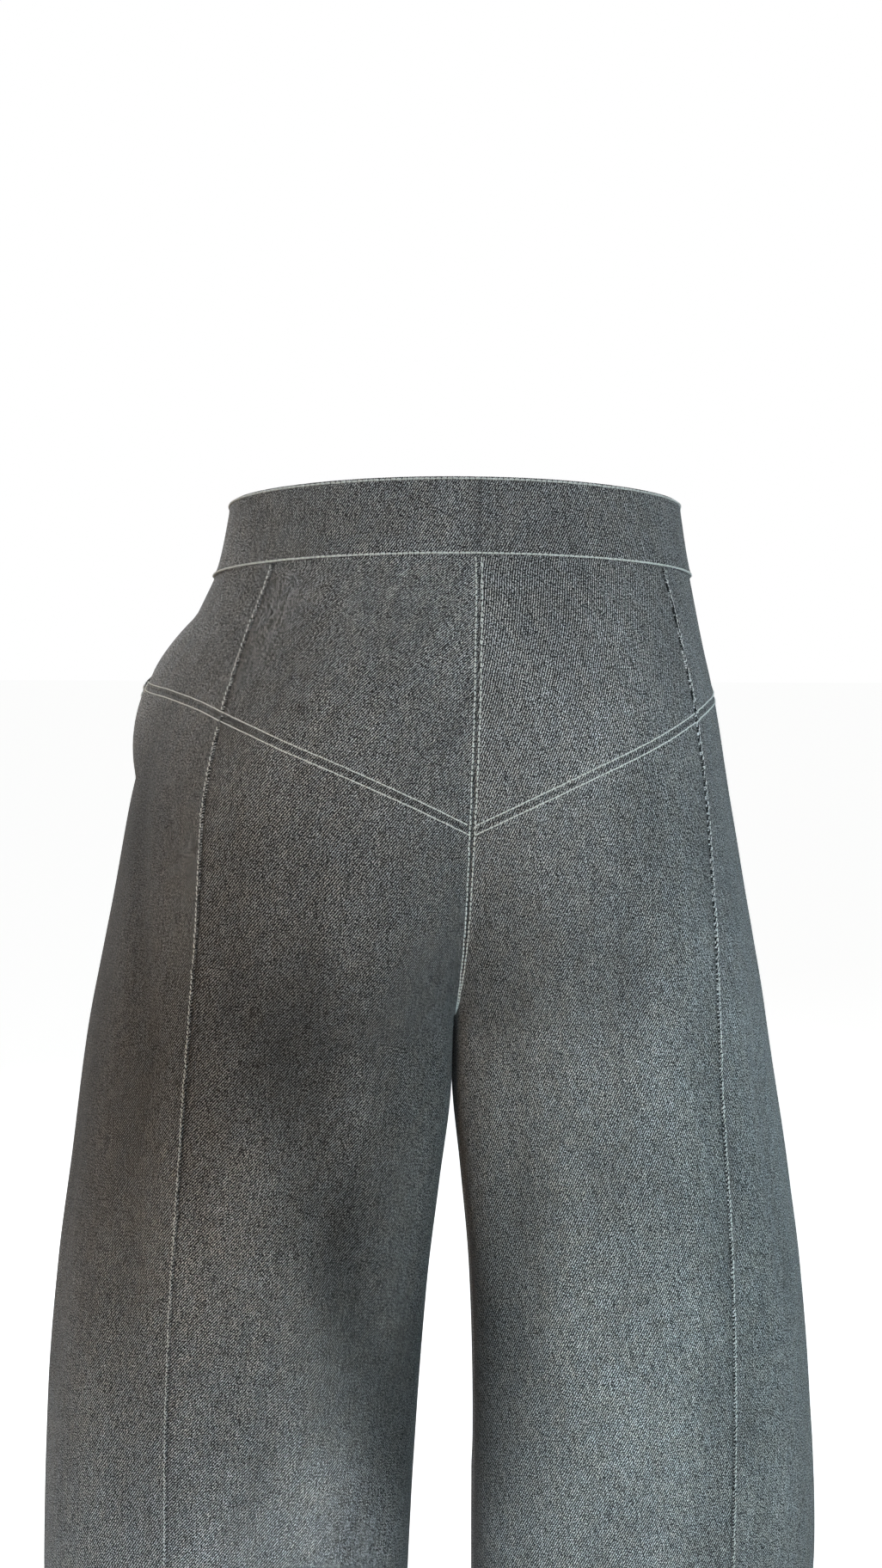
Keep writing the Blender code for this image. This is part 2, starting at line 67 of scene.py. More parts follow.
# Driving sizes of the cut
GAP = 0.3                 # between the fronts and what lies behind centre front
SEAM_GAP = 0.002          # between pieces that a seam joins
CLOTH = 1.5
HEM_CLOTH = 3.0
HEM_DEPTH = 26.0
BAND_CLOTH = 2.7
BAND_HEIGHT = 42.0
BAND_PROUD = 0.8
WAIST_DIP = 22.0
HEM_LEVEL = -1000.0
CROTCH_LEVEL = -305.0
FLY_WIDTH = 38.0
FLY_FOOT = -236.0
LAYER_GAP = 0.5           # between the layers behind the left front
UNDERLAP = 36.0
UNDERLAP_STEP = 3.2       # how far the underlap lies inside the buttonhole end
STEP_SHARE = 0.22         # share over which the band's right half steps in to it
NEAR_FRONT = 0.03         # a share beside centre front, where the cloth's width is read

# One half seen from above at a row of levels: its widest point, how near its round comes to the
# middle plane in front and behind, where it is widest, where it turns inside, and its front and
# back points.
SECTION = [(name, float) for name in (
    "level", "outer", "inner_front", "inner_back", "outer_y", "inner_y", "front_y", "back_y")]
SECTIONS = np.array([
    (0, 127, -127, -127, 0, 0, -88, 92),
    (-45, 136, -136, -130, -8, 0, -95, 99),
    (-65, 144, -144, -122, -26, 0, -99, 104),
    (-100, 158.5, -150, -106, -52, 0, -105, 112),
    (-125, 166.5, -148, -92, -58, 0, -108, 117),
    (-180, 179, -118, -60, -60, 0, -111, 122),
    (-240, 190, -52, -28, -60, 10, -112, 120),
    (-265, 195, -26, -15.5, -59, 16, -112, 115),
    (-285, 199, -9.5, -6, -57, 21, -112.5, 110),
    (CROTCH_LEVEL, 203, 0.15, 0.15, -56, 26, -113, 104),
    (-345, 210, 1.5, 1.5, -54, 30, -114, 97),
    (-400, 218.5, 7.5, 7.5, -50, 30, -115, 91),
    (-460, 227, 13.5, 13.5, -45, 28, -115, 86),
    (-540, 234, 17.5, 17.5, -38, 20, -113, 80),
    (-640, 237.5, 20.2, 20.2, -28, 8, -107, 74),
    (-760, 223, 22.4, 22.4, -18, 2, -95, 69),
    (-880, 196, 24, 24, -8, 0, -77, 65),
    (HEM_LEVEL, 169, 26, 26, 0, 0, -58, 60),
], dtype=SECTION)
SQUARENESS = 2.2

# How the garment hangs from its waist: its middle stands this far towards the wearer's left, and
# the left half is wider and the right one narrower by this share.
HANG = [(name, float) for name in ("level", "shift", "wider")]
HANGS = np.array([
    (0, 0, 0),
    (-45, 0, 0),
    (-100, 1.5, 0.015),
    (-188, 3.5, 0.034),
    (CROTCH_LEVEL, 3.0, 0.033),
    (-400, 3.5, 0.018),
    (-540, 4.5, 0.008),
    (-640, 5.5, 0),
    (-760, 6, 0),
    (HEM_LEVEL, 6, 0),
], dtype=HANG)

# How far from the middle plane the two long panel seams of a half run
SEAM = [(name, float) for name in ("level", "front", "back")]
SEAMS = np.array([
    (0, 98, 99),
    (-45, 103, 107),
    (-85, 112, 119),
    (-125, 121, 129),
    (-180, 131, 137),
    (-240, 139, 141),
    (CROTCH_LEVEL, 145, 146),
    (-400, 152, 154),
    (-460, 156, 158),
    (-540, 160, 161),
    (-640, 160, 162),
    (-760, 152, 154),
    (-880, 138, 140),
    (HEM_LEVEL, 122, 124),
], dtype=SEAM)

# The line under the yoke, from the front panel seam over the pocket mouth to centre back
YOKE = [(name, float) for name in ("share", "level")]
YOKE_LINE = np.array([
    (0.27, -82),
    (0.36, -90),
    (0.44, -103),
    (0.52, -116),
    (0.62, -119),
    (0.70, -123),
    (0.76, -130),
    (0.86, -149),
    (0.93, -167),
    (1.00, -188),
], dtype=YOKE)
MOUTH_END = 0.52          # share at which the bar tack closes the pocket mouth
YOKE_ROUNDS = 20          # of closing in on the place where a panel seam crosses the yoke's line

# Folds and creases, each running down through three places given as share and level. The first
# rows are the large folds that the solids have too; the rest are the finer creases between them.
FOLD = [(name, float) for name in (
    "side", "top", "top_share", "mid", "mid_share", "foot", "foot_share", "depth", "half_width")]
FOLDS = np.array([
    (LEFT, -190, 0.850, -344, 0.838, -600, 0.955, -6.5, 21),
    (LEFT, -180, 0.787, -300, 0.797, -440, 0.838, -4.0, 19),
    (LEFT, -130, 0.600, -268, 0.694, -640, 0.690, -3.5, 17),
    (LEFT, -75, 0.500, -108, 0.500, -170, 0.500, 11.0, 60),
    (LEFT, -300, 0.890, -450, 0.885, -640, 0.860, 2.5, 34),
    (LEFT, -215, 0.130, -360, 0.150, -600, 0.060, -5.5, 21),
    (LEFT, -250, 0.220, -400, 0.215, -560, 0.180, -3.0, 18),
    (RIGHT, -205, 0.975, -326, 0.915, -600, 0.955, -5.0, 18),
    (RIGHT, -190, 0.862, -322, 0.846, -450, 0.866, -4.0, 19),
    (RIGHT, -180, 0.762, -300, 0.752, -560, 0.706, -3.0, 18),
    (RIGHT, -300, 0.800, -480, 0.830, -660, 0.850, 3.0, 40),
    (RIGHT, -205, 0.100, -330, 0.110, -590, 0.055, -5.0, 19),
    (RIGHT, -240, 0.205, -420, 0.200, -580, 0.160, -3.5, 20),
], dtype=FOLD)
CREASES = np.array([
    (LEFT, -262, 0.955, -300, 0.930, -362, 0.952, -1.6, 7),
    (LEFT, -225, 0.905, -290, 0.885, -380, 0.900, -1.2, 9),
    (LEFT, -240, 0.735, -330, 0.742, -470, 0.760, -1.1, 8),
    (LEFT, -400, 0.800, -520, 0.812, -690, 0.800, -1.4, 12),
    (LEFT, -560, 0.905, -660, 0.900, -800, 0.880, -1.5, 13),
    (LEFT, -600, 0.600, -700, 0.590, -860, 0.610, -1.6, 14),
    (LEFT, -700, 0.780, -800, 0.800, -930, 0.790, -1.2, 11),
    (LEFT, -330, 0.560, -450, 0.575, -590, 0.560, -1.5, 14),
    (LEFT, -270, 0.400, -380, 0.390, -520, 0.410, -1.5, 12),
    (LEFT, -400, 0.300, -520, 0.290, -680, 0.300, -1.3, 11),
    (LEFT, -620, 0.160, -720, 0.180, -860, 0.190, -1.6, 13),
    (LEFT, -110, 0.820, -130, 0.800, -148, 0.780, -0.5, 7),
    (RIGHT, -255, 0.962, -300, 0.945, -372, 0.965, -1.4, 7),
    (RIGHT, -230, 0.910, -300, 0.885, -390, 0.890, -1.2, 9),
    (RIGHT, -250, 0.690, -350, 0.680, -480, 0.670, -1.2, 9),
    (RIGHT, -420, 0.930, -520, 0.905, -680, 0.900, -1.3, 12),
    (RIGHT, -470, 0.760, -580, 0.750, -740, 0.765, -1.4, 12),
    (RIGHT, -620, 0.640, -740, 0.620, -880, 0.640, -1.6, 14),
    (RIGHT, -720, 0.850, -820, 0.840, -940, 0.850, -1.2, 11),
    (RIGHT, -300, 0.570, -420, 0.580, -570, 0.560, -1.4, 13),
    (RIGHT, -290, 0.390, -400, 0.400, -540, 0.385, -1.4, 12),
    (RIGHT, -430, 0.290, -560, 0.300, -700, 0.290, -1.4, 11),
    (RIGHT, -640, 0.150, -740, 0.170, -880, 0.180, -1.5, 13),
], dtype=FOLD)
WIDTH_PER_SHARE = 650.0   # of cloth, by which the width of a fold is measured
FOLD_FADE = 0.8           # how soon a fold rises from its ends; less is sooner
SEAM_HOLD = 12.0          # from the middle seams, over which they hold a fold flat
FOLD_SHADE = 0.065        # painted shade per millimetre of a fold's trough, and paler per millimetre of its ridge, partly wear and partly painted light
DARKEST = -1.1            # as deep as shade may go

# Painted light and shade: places where the denim's colour is paler or darker, set against the
# photograph so that the legs take its light and shade, with one guessed on each front (the paler
# places at the knees are partly the denim's wash): share and level of the middle of a place, its
# reach round the leg and down it in millimetres, and how much paler
PAINTED_LIGHT_SHADE_AND_WASH_COLUMNS = [(name, float) for name in ("side", "share", "level", "across", "down", "paler")]
PAINTED_LIGHT_SHADE_AND_WASH = np.array([
    (LEFT, 0.84, -640, 75, 190, 0.45),
    (LEFT, 0.76, -270, 140, 130, -0.42),
    (LEFT, 0.79, -300, 50, 60, -0.15),
    (LEFT, 0.80, -380, 40, 50, 0.30),
    (LEFT, 0.57, -300, 70, 190, -0.8),
    (LEFT, 0.62, -180, 70, 55, -0.35),
    (LEFT, 0.62, -620, 60, 150, 0.45),
    (LEFT, 0.74, -450, 50, 60, 0.40),
    (LEFT, 0.915, -340, 28, 60, -0.25),
    (LEFT, 0.885, -400, 26, 60, -0.35),
    (LEFT, 0.880, -460, 28, 60, -0.50),
    (LEFT, 0.930, -530, 30, 70, -0.55),
    (LEFT, 0.850, -560, 26, 60, 0.25),
    (LEFT, 1.00, -285, 60, 60, -0.3),
    (LEFT, 1.00, -520, 40, 190, -1.0),
    (LEFT, 1.00, -760, 44, 160, -1.2),
    (RIGHT, 0.84, -560, 70, 200, 0.55),
    (RIGHT, 0.90, -430, 40, 200, 0.20),
    (RIGHT, 0.82, -310, 90, 60, 0.30),
    (RIGHT, 0.92, -140, 70, 60, 0.25),
    (RIGHT, 0.82, -192, 70, 34, -0.25),
    (RIGHT, 0.60, -185, 60, 70, -0.50),
    (RIGHT, 1.00, -285, 60, 60, -0.35),
    (RIGHT, 1.00, -500, 42, 150, -1.15),
    (RIGHT, 1.00, -760, 32, 160, -0.5),
    (LEFT, 0.15, -520, 60, 170, 0.45),
    (RIGHT, 0.15, -520, 60, 170, 0.45),
], dtype=PAINTED_LIGHT_SHADE_AND_WASH_COLUMNS)
PROBE = 2.0               # reach over which the cloth's direction is read
SHARE_PROBE = 0.004

# The fine grid of a shell
GRID_PITCH = 4.0
EDGE_STEPS = (0.0, 0.35, 0.8, 1.3, 1.9, 2.6, 3.5, 4.8, 6.6, 9.0)     # from a sewn edge
HEM_STEPS = (0.0, 0.4, 0.9, 1.6, 3.0, 6.0, 10.0, 14.5, 19.0, 21.0, 22.0, 23.0, 24.0, 25.0,
             26.5, 28.0, 31.0)                                       # up from the hem
RISE_LENGTH = 170.0       # of the rows from the crotch up, before they meet the panel's top
ROW_ROUNDS = 6
BAND_PITCH = 3.0
STATION_PITCH = 3.5       # along the waistband
BAND_READ = -38.0         # the level at which the waistband's length is read
UNDERLAP_READ = -30.0     # and at which its underlap's is
BAND_SEAM_READ = -60.0    # the level at which a panel seam's place under the waistband is read
FLY_GRID = (48, 14)       # lines up and across
ZIP_GRID = (44, 14)

BACK_GRAIN = 7.0          # degrees by which the back pieces' grain leans out from the seat seam
PALE_FROM, PALE_TO = 1.985, 2.525         # of the weave, where dark warp gives way to pale weft
REVERSE_PALE = 0.35       # how much more of the weft the cloth's reverse shows
WARM_WEFT = (1.02, 0.99, 0.95)            # tint of the weft in its warmer places

# Sewing
STITCH_SINK = 0.04        # how far a stitch lies below the cloth's face
CENTRE_ROWS = 1.6         # each of the two rows beside the seat seam
YOKE_ROWS = 2.25
EDGE_ROW = 1.3            # the waistband's rows, from its edges
BAND_ROW = BAND_PROUD - 0.35              # how far they stand out, sunk into the band's face
LAP_ROW = 1.1             # the row on the lapped edge of a panel seam
LAP_STITCH = 2.8          # one stitch of that row with its gap
LAP_LEAN = 16             # degrees by which its stitches slant
LAP_SINK = {LEFT: 0.20, RIGHT: 0.34}
HOLE_PITCH = 3.0          # from one pressed stitch hole of an open seam to the next
SEWING_STEP = 2.0         # between the places at which a row's line is read
FLY_ROWS = (35.0, 29.5)   # the two rows that hold the fly's facing
FLY_TURN = 46.0           # height over which they curve in to the seam
FLY_EDGE = 0.9            # how far the left front stands over the right one
HEM_ROW = 23.0
MOUTH_SECOND_ROW = 6.6
TACK = 7.5                # length of a bar tack
FLY_TACKS = ((3.0, 1.5), (30.0, 24.0))    # from centre front, and above the fly's foot
TURN_SPREAD = 2.2         # how unevenly stitches are sewn: degrees of slant,
LENGTH_SPREAD = 0.045     # share of their length,
THICKNESS_SPREAD = 0.06   # share of their thickness
PLACE_SPREAD = 0.07       # and millimetres beside their row

# The zip and the button
ZIP_FOOT = -204.7
ZIP_REACH_LEFT = 26.0
ZIP_REACH_RIGHT = 10.0
ZIP_TAPE = 1.2
ZIP_LINE = 12.0           # the teeth's distance from centre front
ZIP_TOP_STOP = 20.0       # below the waistband
TOOTH = (2.6, 1.15, 1.0)  # length, height and thickness
TOOTH_PITCH = 2.0
BUTTONHOLE = (21.0, 3.4)
BUTTONHOLE_X = 15.0

# The photograph's camera
PICTURE = (1026, 1824)
FOCAL_PIXELS = 2200.0
SENSOR = 36.0
AZIMUTH = math.radians(6.8)
PITCH = math.radians(4.9)
ROLL = math.radians(0.4)
DISTANCE = 1105.0
EYE_LEVEL = -77.0
EYE_SHIFT = -7.5

# The lights: where each stands and what it is turned to, in metres, its size, its power in watts,
# its spread in degrees and its colour
LIGHTS = (
    ("right_thigh_light", (-0.5, 1.9, -0.1), (-0.24, 0.1, -0.33), 0.45, 0.30, 22,
     (0.66, 1.0, 1.14)),
    ("left_knee_light", (0.2, 1.8, -0.95), (0.16, 0.07, -0.80), 0.45, 0.50, 20,
     (0.84, 1.0, 1.1)),
    ("hip_light", (-0.05, 1.9, 0.3), (-0.03, 0.1, -0.09), 0.4, 0.31, 23, (0.88, 1.0, 1.06)),
    ("right_knee_light", (-0.4, 1.9, -0.8), (-0.19, 0.07, -0.66), 0.45, 0.30, 22,
     (0.8, 1.0, 1.04)),
    ("warm_fill", (0.9, 1.9, 0.1), (0.1, 0.1, -0.3), 0.9, 1.2, 180, (1.3, 0.7, 0.35)),
    ("left_thigh_glow", (1.0, 1.6, -0.2), (0.16, 0.05, -0.27), 0.45, 0.09, 20,
     (1.4, 0.88, 0.45)),
    ("right_side_light", (-2.0, -0.7, 0.2), (-0.1, 0.0, -0.4), 0.9, 9.0, 180, (0.86, 1.0, 1.1)),
    ("left_side_light", (2.0, -0.7, 0.2), (0.1, 0.0, -0.4), 0.9, 6.0, 180, (1.05, 1.0, 0.92)),
    ("front_light", (0.9, -1.9, 0.7), (0.0, 0.0, -0.45), 1.3, 24.0, 180, (0.97, 1.0, 1.03)),
)
DAYLIGHT_COLOUR = (0.98, 1.0, 0.97, 1.0)
WHITE = (1.0, 1.0, 1.0, 1.0)
FLOOR_GLOW = 0.86         # so that the floor shows nearly as white as what is behind it
FLOOR_GREY = (0.45, 0.45, 0.45, 1.0)      # the floor as it throws light back on the legs
FLOOR_REACH = 30.0        # in metres


def length_setting(name, description, default):
    return FloatProperty(name=name, description=description, default=default, unit="LENGTH")


def strength_setting(name, description, default):
    return FloatProperty(name=name, description=description, default=default, min=0)


def colour_setting(name, description, default):
    return FloatVectorProperty(name=name, description=description, default=default, size=3,
                               subtype="COLOR", min=0, max=1)


class ClothSettings(bpy.types.PropertyGroup):
    """The denim's sizes and colours."""
    twill_pitch: length_setting(
        "Twill pitch", "Distance from one diagonal rib to the next", 0.0012)
    twill_angle: FloatProperty(
        name="Twill angle", description="Rise of the diagonal ribs above the weft",
        default=math.radians(57), subtype="ANGLE")
    warp: colour_setting("Warp", "Colour of the dark yarn", (0.014, 0.015, 0.016))
    weft: colour_setting("Weft", "Colour of the pale yarn", (0.84, 0.86, 0.88))
    zip_tape: colour_setting("Zip tape", "Colour of the zip's tape", (0.03, 0.03, 0.035))
    metal: colour_setting("Metal", "Colour of the button and the zip", (0.42, 0.41, 0.39))


class SewingSettings(bpy.types.PropertyGroup):
    """The sizes and colour of the topstitching."""
    stitch: length_setting("Stitch", "Length of one stitch with its gap", 0.003)
    thickness: length_setting("Thread", "Thickness of the thread", 0.0009)
    colour: colour_setting(
        "Thread colour", "Colour of the topstitching thread", (0.92, 0.95, 0.92))


class StageSettings(bpy.types.PropertyGroup):
    """The floor and the lights."""
    floor_drop: length_setting("Floor drop", "How far the floor lies below the hems", 0.06)
    daylight: strength_setting("Daylight", "Strength of the light from all round", 0.13)
    lamps: strength_setting("Lamps", "Strength of all the lamps together", 1.0)


# ---------------------------------------------------------------------------------------------
# The garment's form

def smooth_column(table, key, column, at):
    """Monotone cubic through one column of a table, read at values of its key."""
    order = np.argsort(table[key])
    keys = table[key][order]
    values = table[column][order]
    steps = np.diff(keys)
    slopes = np.diff(values) / steps
    tangents = np.zeros(len(keys))
    tangents[0] = slopes[0]
    tangents[-1] = slopes[-1]
    for i in range(1, len(keys) - 1):
        if slopes[i - 1] * slopes[i] > 0:
            before = 2 * steps[i] + steps[i - 1]
            after = steps[i] + 2 * steps[i - 1]
            tangents[i] = (before + after) / (before / slopes[i - 1] + after / slopes[i])
    at = np.clip(at, keys[0], keys[-1])
    i = np.clip(np.searchsorted(keys, at) - 1, 0, len(steps) - 1)
    t = (at - keys[i]) / steps[i]
    return (values[i] * (1 + 2 * t) * (1 - t) ** 2 + tangents[i] * steps[i] * t * (1 - t) ** 2
            + values[i + 1] * t * t * (3 - 2 * t) + tangents[i + 1] * steps[i] * t * t * (t - 1))


def ease(t):
    """0 to 1 with level ends."""
    t = np.clip(t, 0.0, 1.0)
    return t * t * (3 - 2 * t)


def bump(distance, width):
    """A soft rise of height 1 round a distance of 0."""
    return np.exp(-(distance / width) ** 2)


def unit(vectors):
    """Vectors made one long."""
    return vectors / np.linalg.norm(vectors, axis=-1, keepdims=True)


def spread(share, level):
    """Shares and levels as arrays of one shape."""
    return np.broadcast_arrays(np.asarray(share, float), np.asarray(level, float))


class Form:
    """The plain form of one half, worked out once on a fine grid of levels and shares."""
    LEVEL_STEP = 2.0
    HALF_SHARES = 600
    ARC_STEPS = 360

    def __init__(self):
        self.levels = np.arange(HEM_LEVEL, self.LEVEL_STEP / 2, self.LEVEL_STEP)
        sizes = {name: smooth_column(SECTIONS, "level", name, self.levels)
                 for name, _ in SECTION[1:]}
        rings = [self.ring({name: column[i] for name, column in sizes.items()})
                 for i in range(len(self.levels))]
        self.places = np.array([place for place, _, _ in rings])
        self.front_width = np.array([front for _, front, _ in rings])
        self.back_width = np.array([back for _, _, back in rings])
        self.shift = smooth_column(HANGS, "level", "shift", self.levels)
        self.wider = smooth_column(HANGS, "level", "wider", self.levels)
        middle = self.HALF_SHARES
        shares = np.linspace(0, 1, 2 * middle + 1)
        self.seams = {}
        for which, part in (("front", slice(None, middle)), ("back", slice(None, middle, -1))):
            runs = smooth_column(SEAMS, "level", which, self.levels)
            self.seams[which] = np.array([np.interp(x, ring[part, 0], shares[part])
                                          for x, ring in zip(runs, self.places)])

    def ring(self, size):
        """Places at even shares round one level, and the cloth's width for a share, front and
        back."""
        curves = []
        outer = size["outer"]
        for face in ("front", "back"):
            inner = max(size["inner_" + face], -outer)
            middle = (outer + inner) / 2
            radius = (outer - inner) / 2
            cut = min(max((middle - SEAM_GAP / 2) / radius, 0.0), 1.0)
            angle = np.linspace(math.acos(cut ** (SQUARENESS / 2)), math.pi, self.ARC_STEPS + 1)
            c = np.cos(angle)
            s = np.abs(np.sin(angle))
            x = middle - radius * np.sign(c) * np.abs(c) ** (2 / SQUARENESS)
            reach = np.clip((x - max(inner, 0)) / (outer - max(inner, 0)), 0, 1)
            axis_y = size["inner_y"] + (size["outer_y"] - size["inner_y"]) * reach
            y = axis_y + (size[face + "_y"] - axis_y) * s ** (2 / SQUARENESS)
            length = np.concatenate([[0.0], np.cumsum(np.hypot(np.diff(x), np.diff(y)))])
            even = np.linspace(0, length[-1], self.HALF_SHARES + 1)
            curves.append((np.interp(even, length, x), np.interp(even, length, y), 2 * length[-1]))
        (front_x, front_y, front_width), (back_x, back_y, back_width) = curves
        x = np.concatenate([front_x, back_x[-2::-1]])
        y = np.concatenate([front_y, back_y[-2::-1]])
        return np.stack([x, y], axis=1), front_width, back_width

    def at_level(self, column, level):
        return np.interp(level, self.levels, column)

    def seam(self, which, level):
        """The share at which the front or the back panel seam runs."""
        return self.at_level(self.seams[which], level)

    def front_cloth(self, level):
        """Millimetres of cloth for one share beside centre front."""
        return float(self.width(NEAR_FRONT, level))

    def width(self, share, level):
        """Millimetres of cloth for one whole share."""
        return np.where(share <= 0.5, self.at_level(self.front_width, level),
                        self.at_level(self.back_width, level))

    def place(self, share, level):
        """x and y of places on the half, before its folds."""
        row = np.clip((level - HEM_LEVEL) / self.LEVEL_STEP, 0, len(self.levels) - 1.001)
        column = np.clip(share, 0, 1) * 2 * self.HALF_SHARES
        column = np.minimum(column, 2 * self.HALF_SHARES - 0.001)
        i, j = row.astype(int), column.astype(int)
        up, on = (row - i)[..., None], (column - j)[..., None]
        low = self.places[i, j] * (1 - on) + self.places[i, j + 1] * on
        high = self.places[i + 1, j] * (1 - on) + self.places[i + 1, j + 1] * on
        return low * (1 - up) + high * up


FORM = Form()


def fold_height(side, share, level):
    """How far the folds and creases move the cloth out of its plain round."""
    height = np.zeros(np.shape(share))
    for fold in np.concatenate([FOLDS, CREASES]):
        if fold["side"] != side:
            continue
        line = np.interp(level, (fold["foot"], fold["mid"], fold["top"]),
                         (fold["foot_share"], fold["mid_share"], fold["top_share"]))
        along = np.clip((level - fold["foot"]) / (fold["top"] - fold["foot"]), 0, 1)
        fade = np.abs(np.sin(math.pi * along)) ** FOLD_FADE
        height += fold["depth"] * fade * bump((share - line) * WIDTH_PER_SHARE, fold["half_width"])
    return height


def painted_light_shade_and_wash(side, share, level):
    """How much paler or darker the legs are painted in places: painted light and shade, and at the
    knees partly the denim's wash.
    """
    paler = np.zeros(np.shape(share))
    width = FORM.width(share, level)
    for place in PAINTED_LIGHT_SHADE_AND_WASH[PAINTED_LIGHT_SHADE_AND_WASH["side"] == side]:
        paler += (place["paler"] * bump((share - place["share"]) * width, place["across"])
                  * bump(level - place["level"], place["down"]))
    return paler


def plain_cloth(side, share, level):
    """Points on the outer face of the cloth without its sewing, in millimetres."""
    share, level = spread(share, level)
    width = FORM.width(share, level)
    step = PROBE / width
    near_front = share <= 0.5
    low = np.where(near_front, np.maximum(share - step, 0), np.maximum(share - step, 0.5))
    high = np.where(near_front, np.minimum(share + step, 0.5), np.minimum(share + step, 1))
    run = unit(FORM.place(high, level) - FORM.place(low, level))
    outward = np.stack([run[..., 1], -run[..., 0]], axis=-1)
    to_middle = np.where(near_front, share, 1 - share) * width
    lift = fold_height(side, share, level) * np.minimum(1.0, to_middle / SEAM_HOLD)
    place = FORM.place(share, level) + outward * lift[..., None]
    across = ((side + FORM.at_level(FORM.wider, level)) * place[..., 0]
              + FORM.at_level(FORM.shift, level))
    return np.stack([across, place[..., 1], level], axis=-1)


def cloth_frame(side, share, level):
    """Points on the plain cloth and the directions straight out of it."""
    share, level = spread(share, level)
    round_run = (plain_cloth(side, np.minimum(share + SHARE_PROBE, 1), level)
                 - plain_cloth(side, np.maximum(share - SHARE_PROBE, 0), level))
    up_run = (plain_cloth(side, share, np.minimum(level + PROBE, 0))
              - plain_cloth(side, share, np.maximum(level - PROBE, HEM_LEVEL)))
    return plain_cloth(side, share, level), unit(np.cross(round_run, up_run) * side)


def either_half(on_left, share, level):
    """Points and directions of the left half where asked for, and of the right one elsewhere."""
    halves = [cloth_frame(side, share, level) for side in (LEFT, RIGHT)]
    return [np.where(on_left[..., None], left, right) for left, right in zip(*halves)]


def band_top(share):
    return -WAIST_DIP * (1 + np.cos(math.pi * np.asarray(share, float))) / 2


def band_bottom(share):
    return band_top(share) - BAND_HEIGHT


def yoke_level(share):
    return smooth_column(YOKE_LINE, "share", "level", share)


def yoke_distance(share, level):
    """Millimetres above the line under the yoke, square to it."""
    step = 0.01
    slope = (yoke_level(share + step) - yoke_level(share - step)) / (2 * step)
    return (level - yoke_level(share)) / np.hypot(1, slope / FORM.width(share, level))


def seam_distance(which, share, level):
    """Millimetres from a panel seam, positive towards centre back."""
    return (share - FORM.seam(which, level)) * FORM.width(share, level)


# ---------------------------------------------------------------------------------------------
# What sewing does to the cloth. In each term the first number is a height in millimetres, or an
# amount of painted shade (darker) or paler colour, and the bump or step after it says where that
# lies and how wide it is.

def pucker(along, phase):
    """Small uneven drawing-up along a seam."""
    return (np.sin(along / 1.7 + phase) + 0.8 * np.sin(along / 2.9 + 2.1 * phase)
            + 0.7 * np.sin(along / 4.6 + 0.7 * phase)) / 2.5


def open_seam(distance, row, along, phase):
    """A seam pressed flat with a row of topstitching on each side: relief and shade."""
    away = np.abs(distance)
    relief = (-0.15 * bump(away, 0.4) + 0.20 * bump(away - 0.5 * row, 0.3 * row)
              - 0.28 * bump(away - row, 0.5) + 0.16 * bump(away - row - 1.5, 1.0)
              + 0.22 * pucker(along, phase) * bump(away - row, 3.5))
    # Painted shade on the seam line and in the stitch holes, and painted light on the roll beyond
    # each row
    stitch_holes = 0.5 + 0.5 * np.sin(2 * math.pi * along / HOLE_PITCH)
    shade = (-0.45 * bump(away, 0.35) - (0.04 + 0.22 * stitch_holes) * bump(away, 0.8 * row)
             + 0.10 * bump(away - row - 1.6, 1.0))
    return relief, shade


def lapped_seam(distance, along, outboard, phase):
    """A seam whose outboard piece is folded over the other one, with its rope-like edge."""
    away = np.abs(distance)
    on_lap = distance * outboard > 0
    rope = np.sin(2 * math.pi * (along - 0.9 * away) / LAP_STITCH)
    lap = (0.85 * (1 - ease((away - 1.8) / 2.4)) - 0.5 * bump(away, 0.35)
           + 0.16 * rope * bump(away - 1.0, 1.1)
           + 0.26 * pucker(along * 1.4, phase) * bump(away, 3.4))
    under = -0.35 * bump(away, 1.1) + 0.14 * pucker(along, phase + 1) * bump(away - 2, 3.0)
    relief = np.where(on_lap, lap, under)
    # Painted shade in the groove beside the lap, and a paler turned edge on the lap, partly rubbed
    # wear and partly painted highlight
    shade = np.where(on_lap, 0.22 * bump(away - 0.9, 0.9) + 0.16 * rope * bump(away - 1.0, 1.0)
                     - 0.15 * bump(away - 3.6, 1.2),
                     -0.8 * bump(away, 0.8) - 0.2 * bump(away - 1.4, 1.5))
    return relief, shade


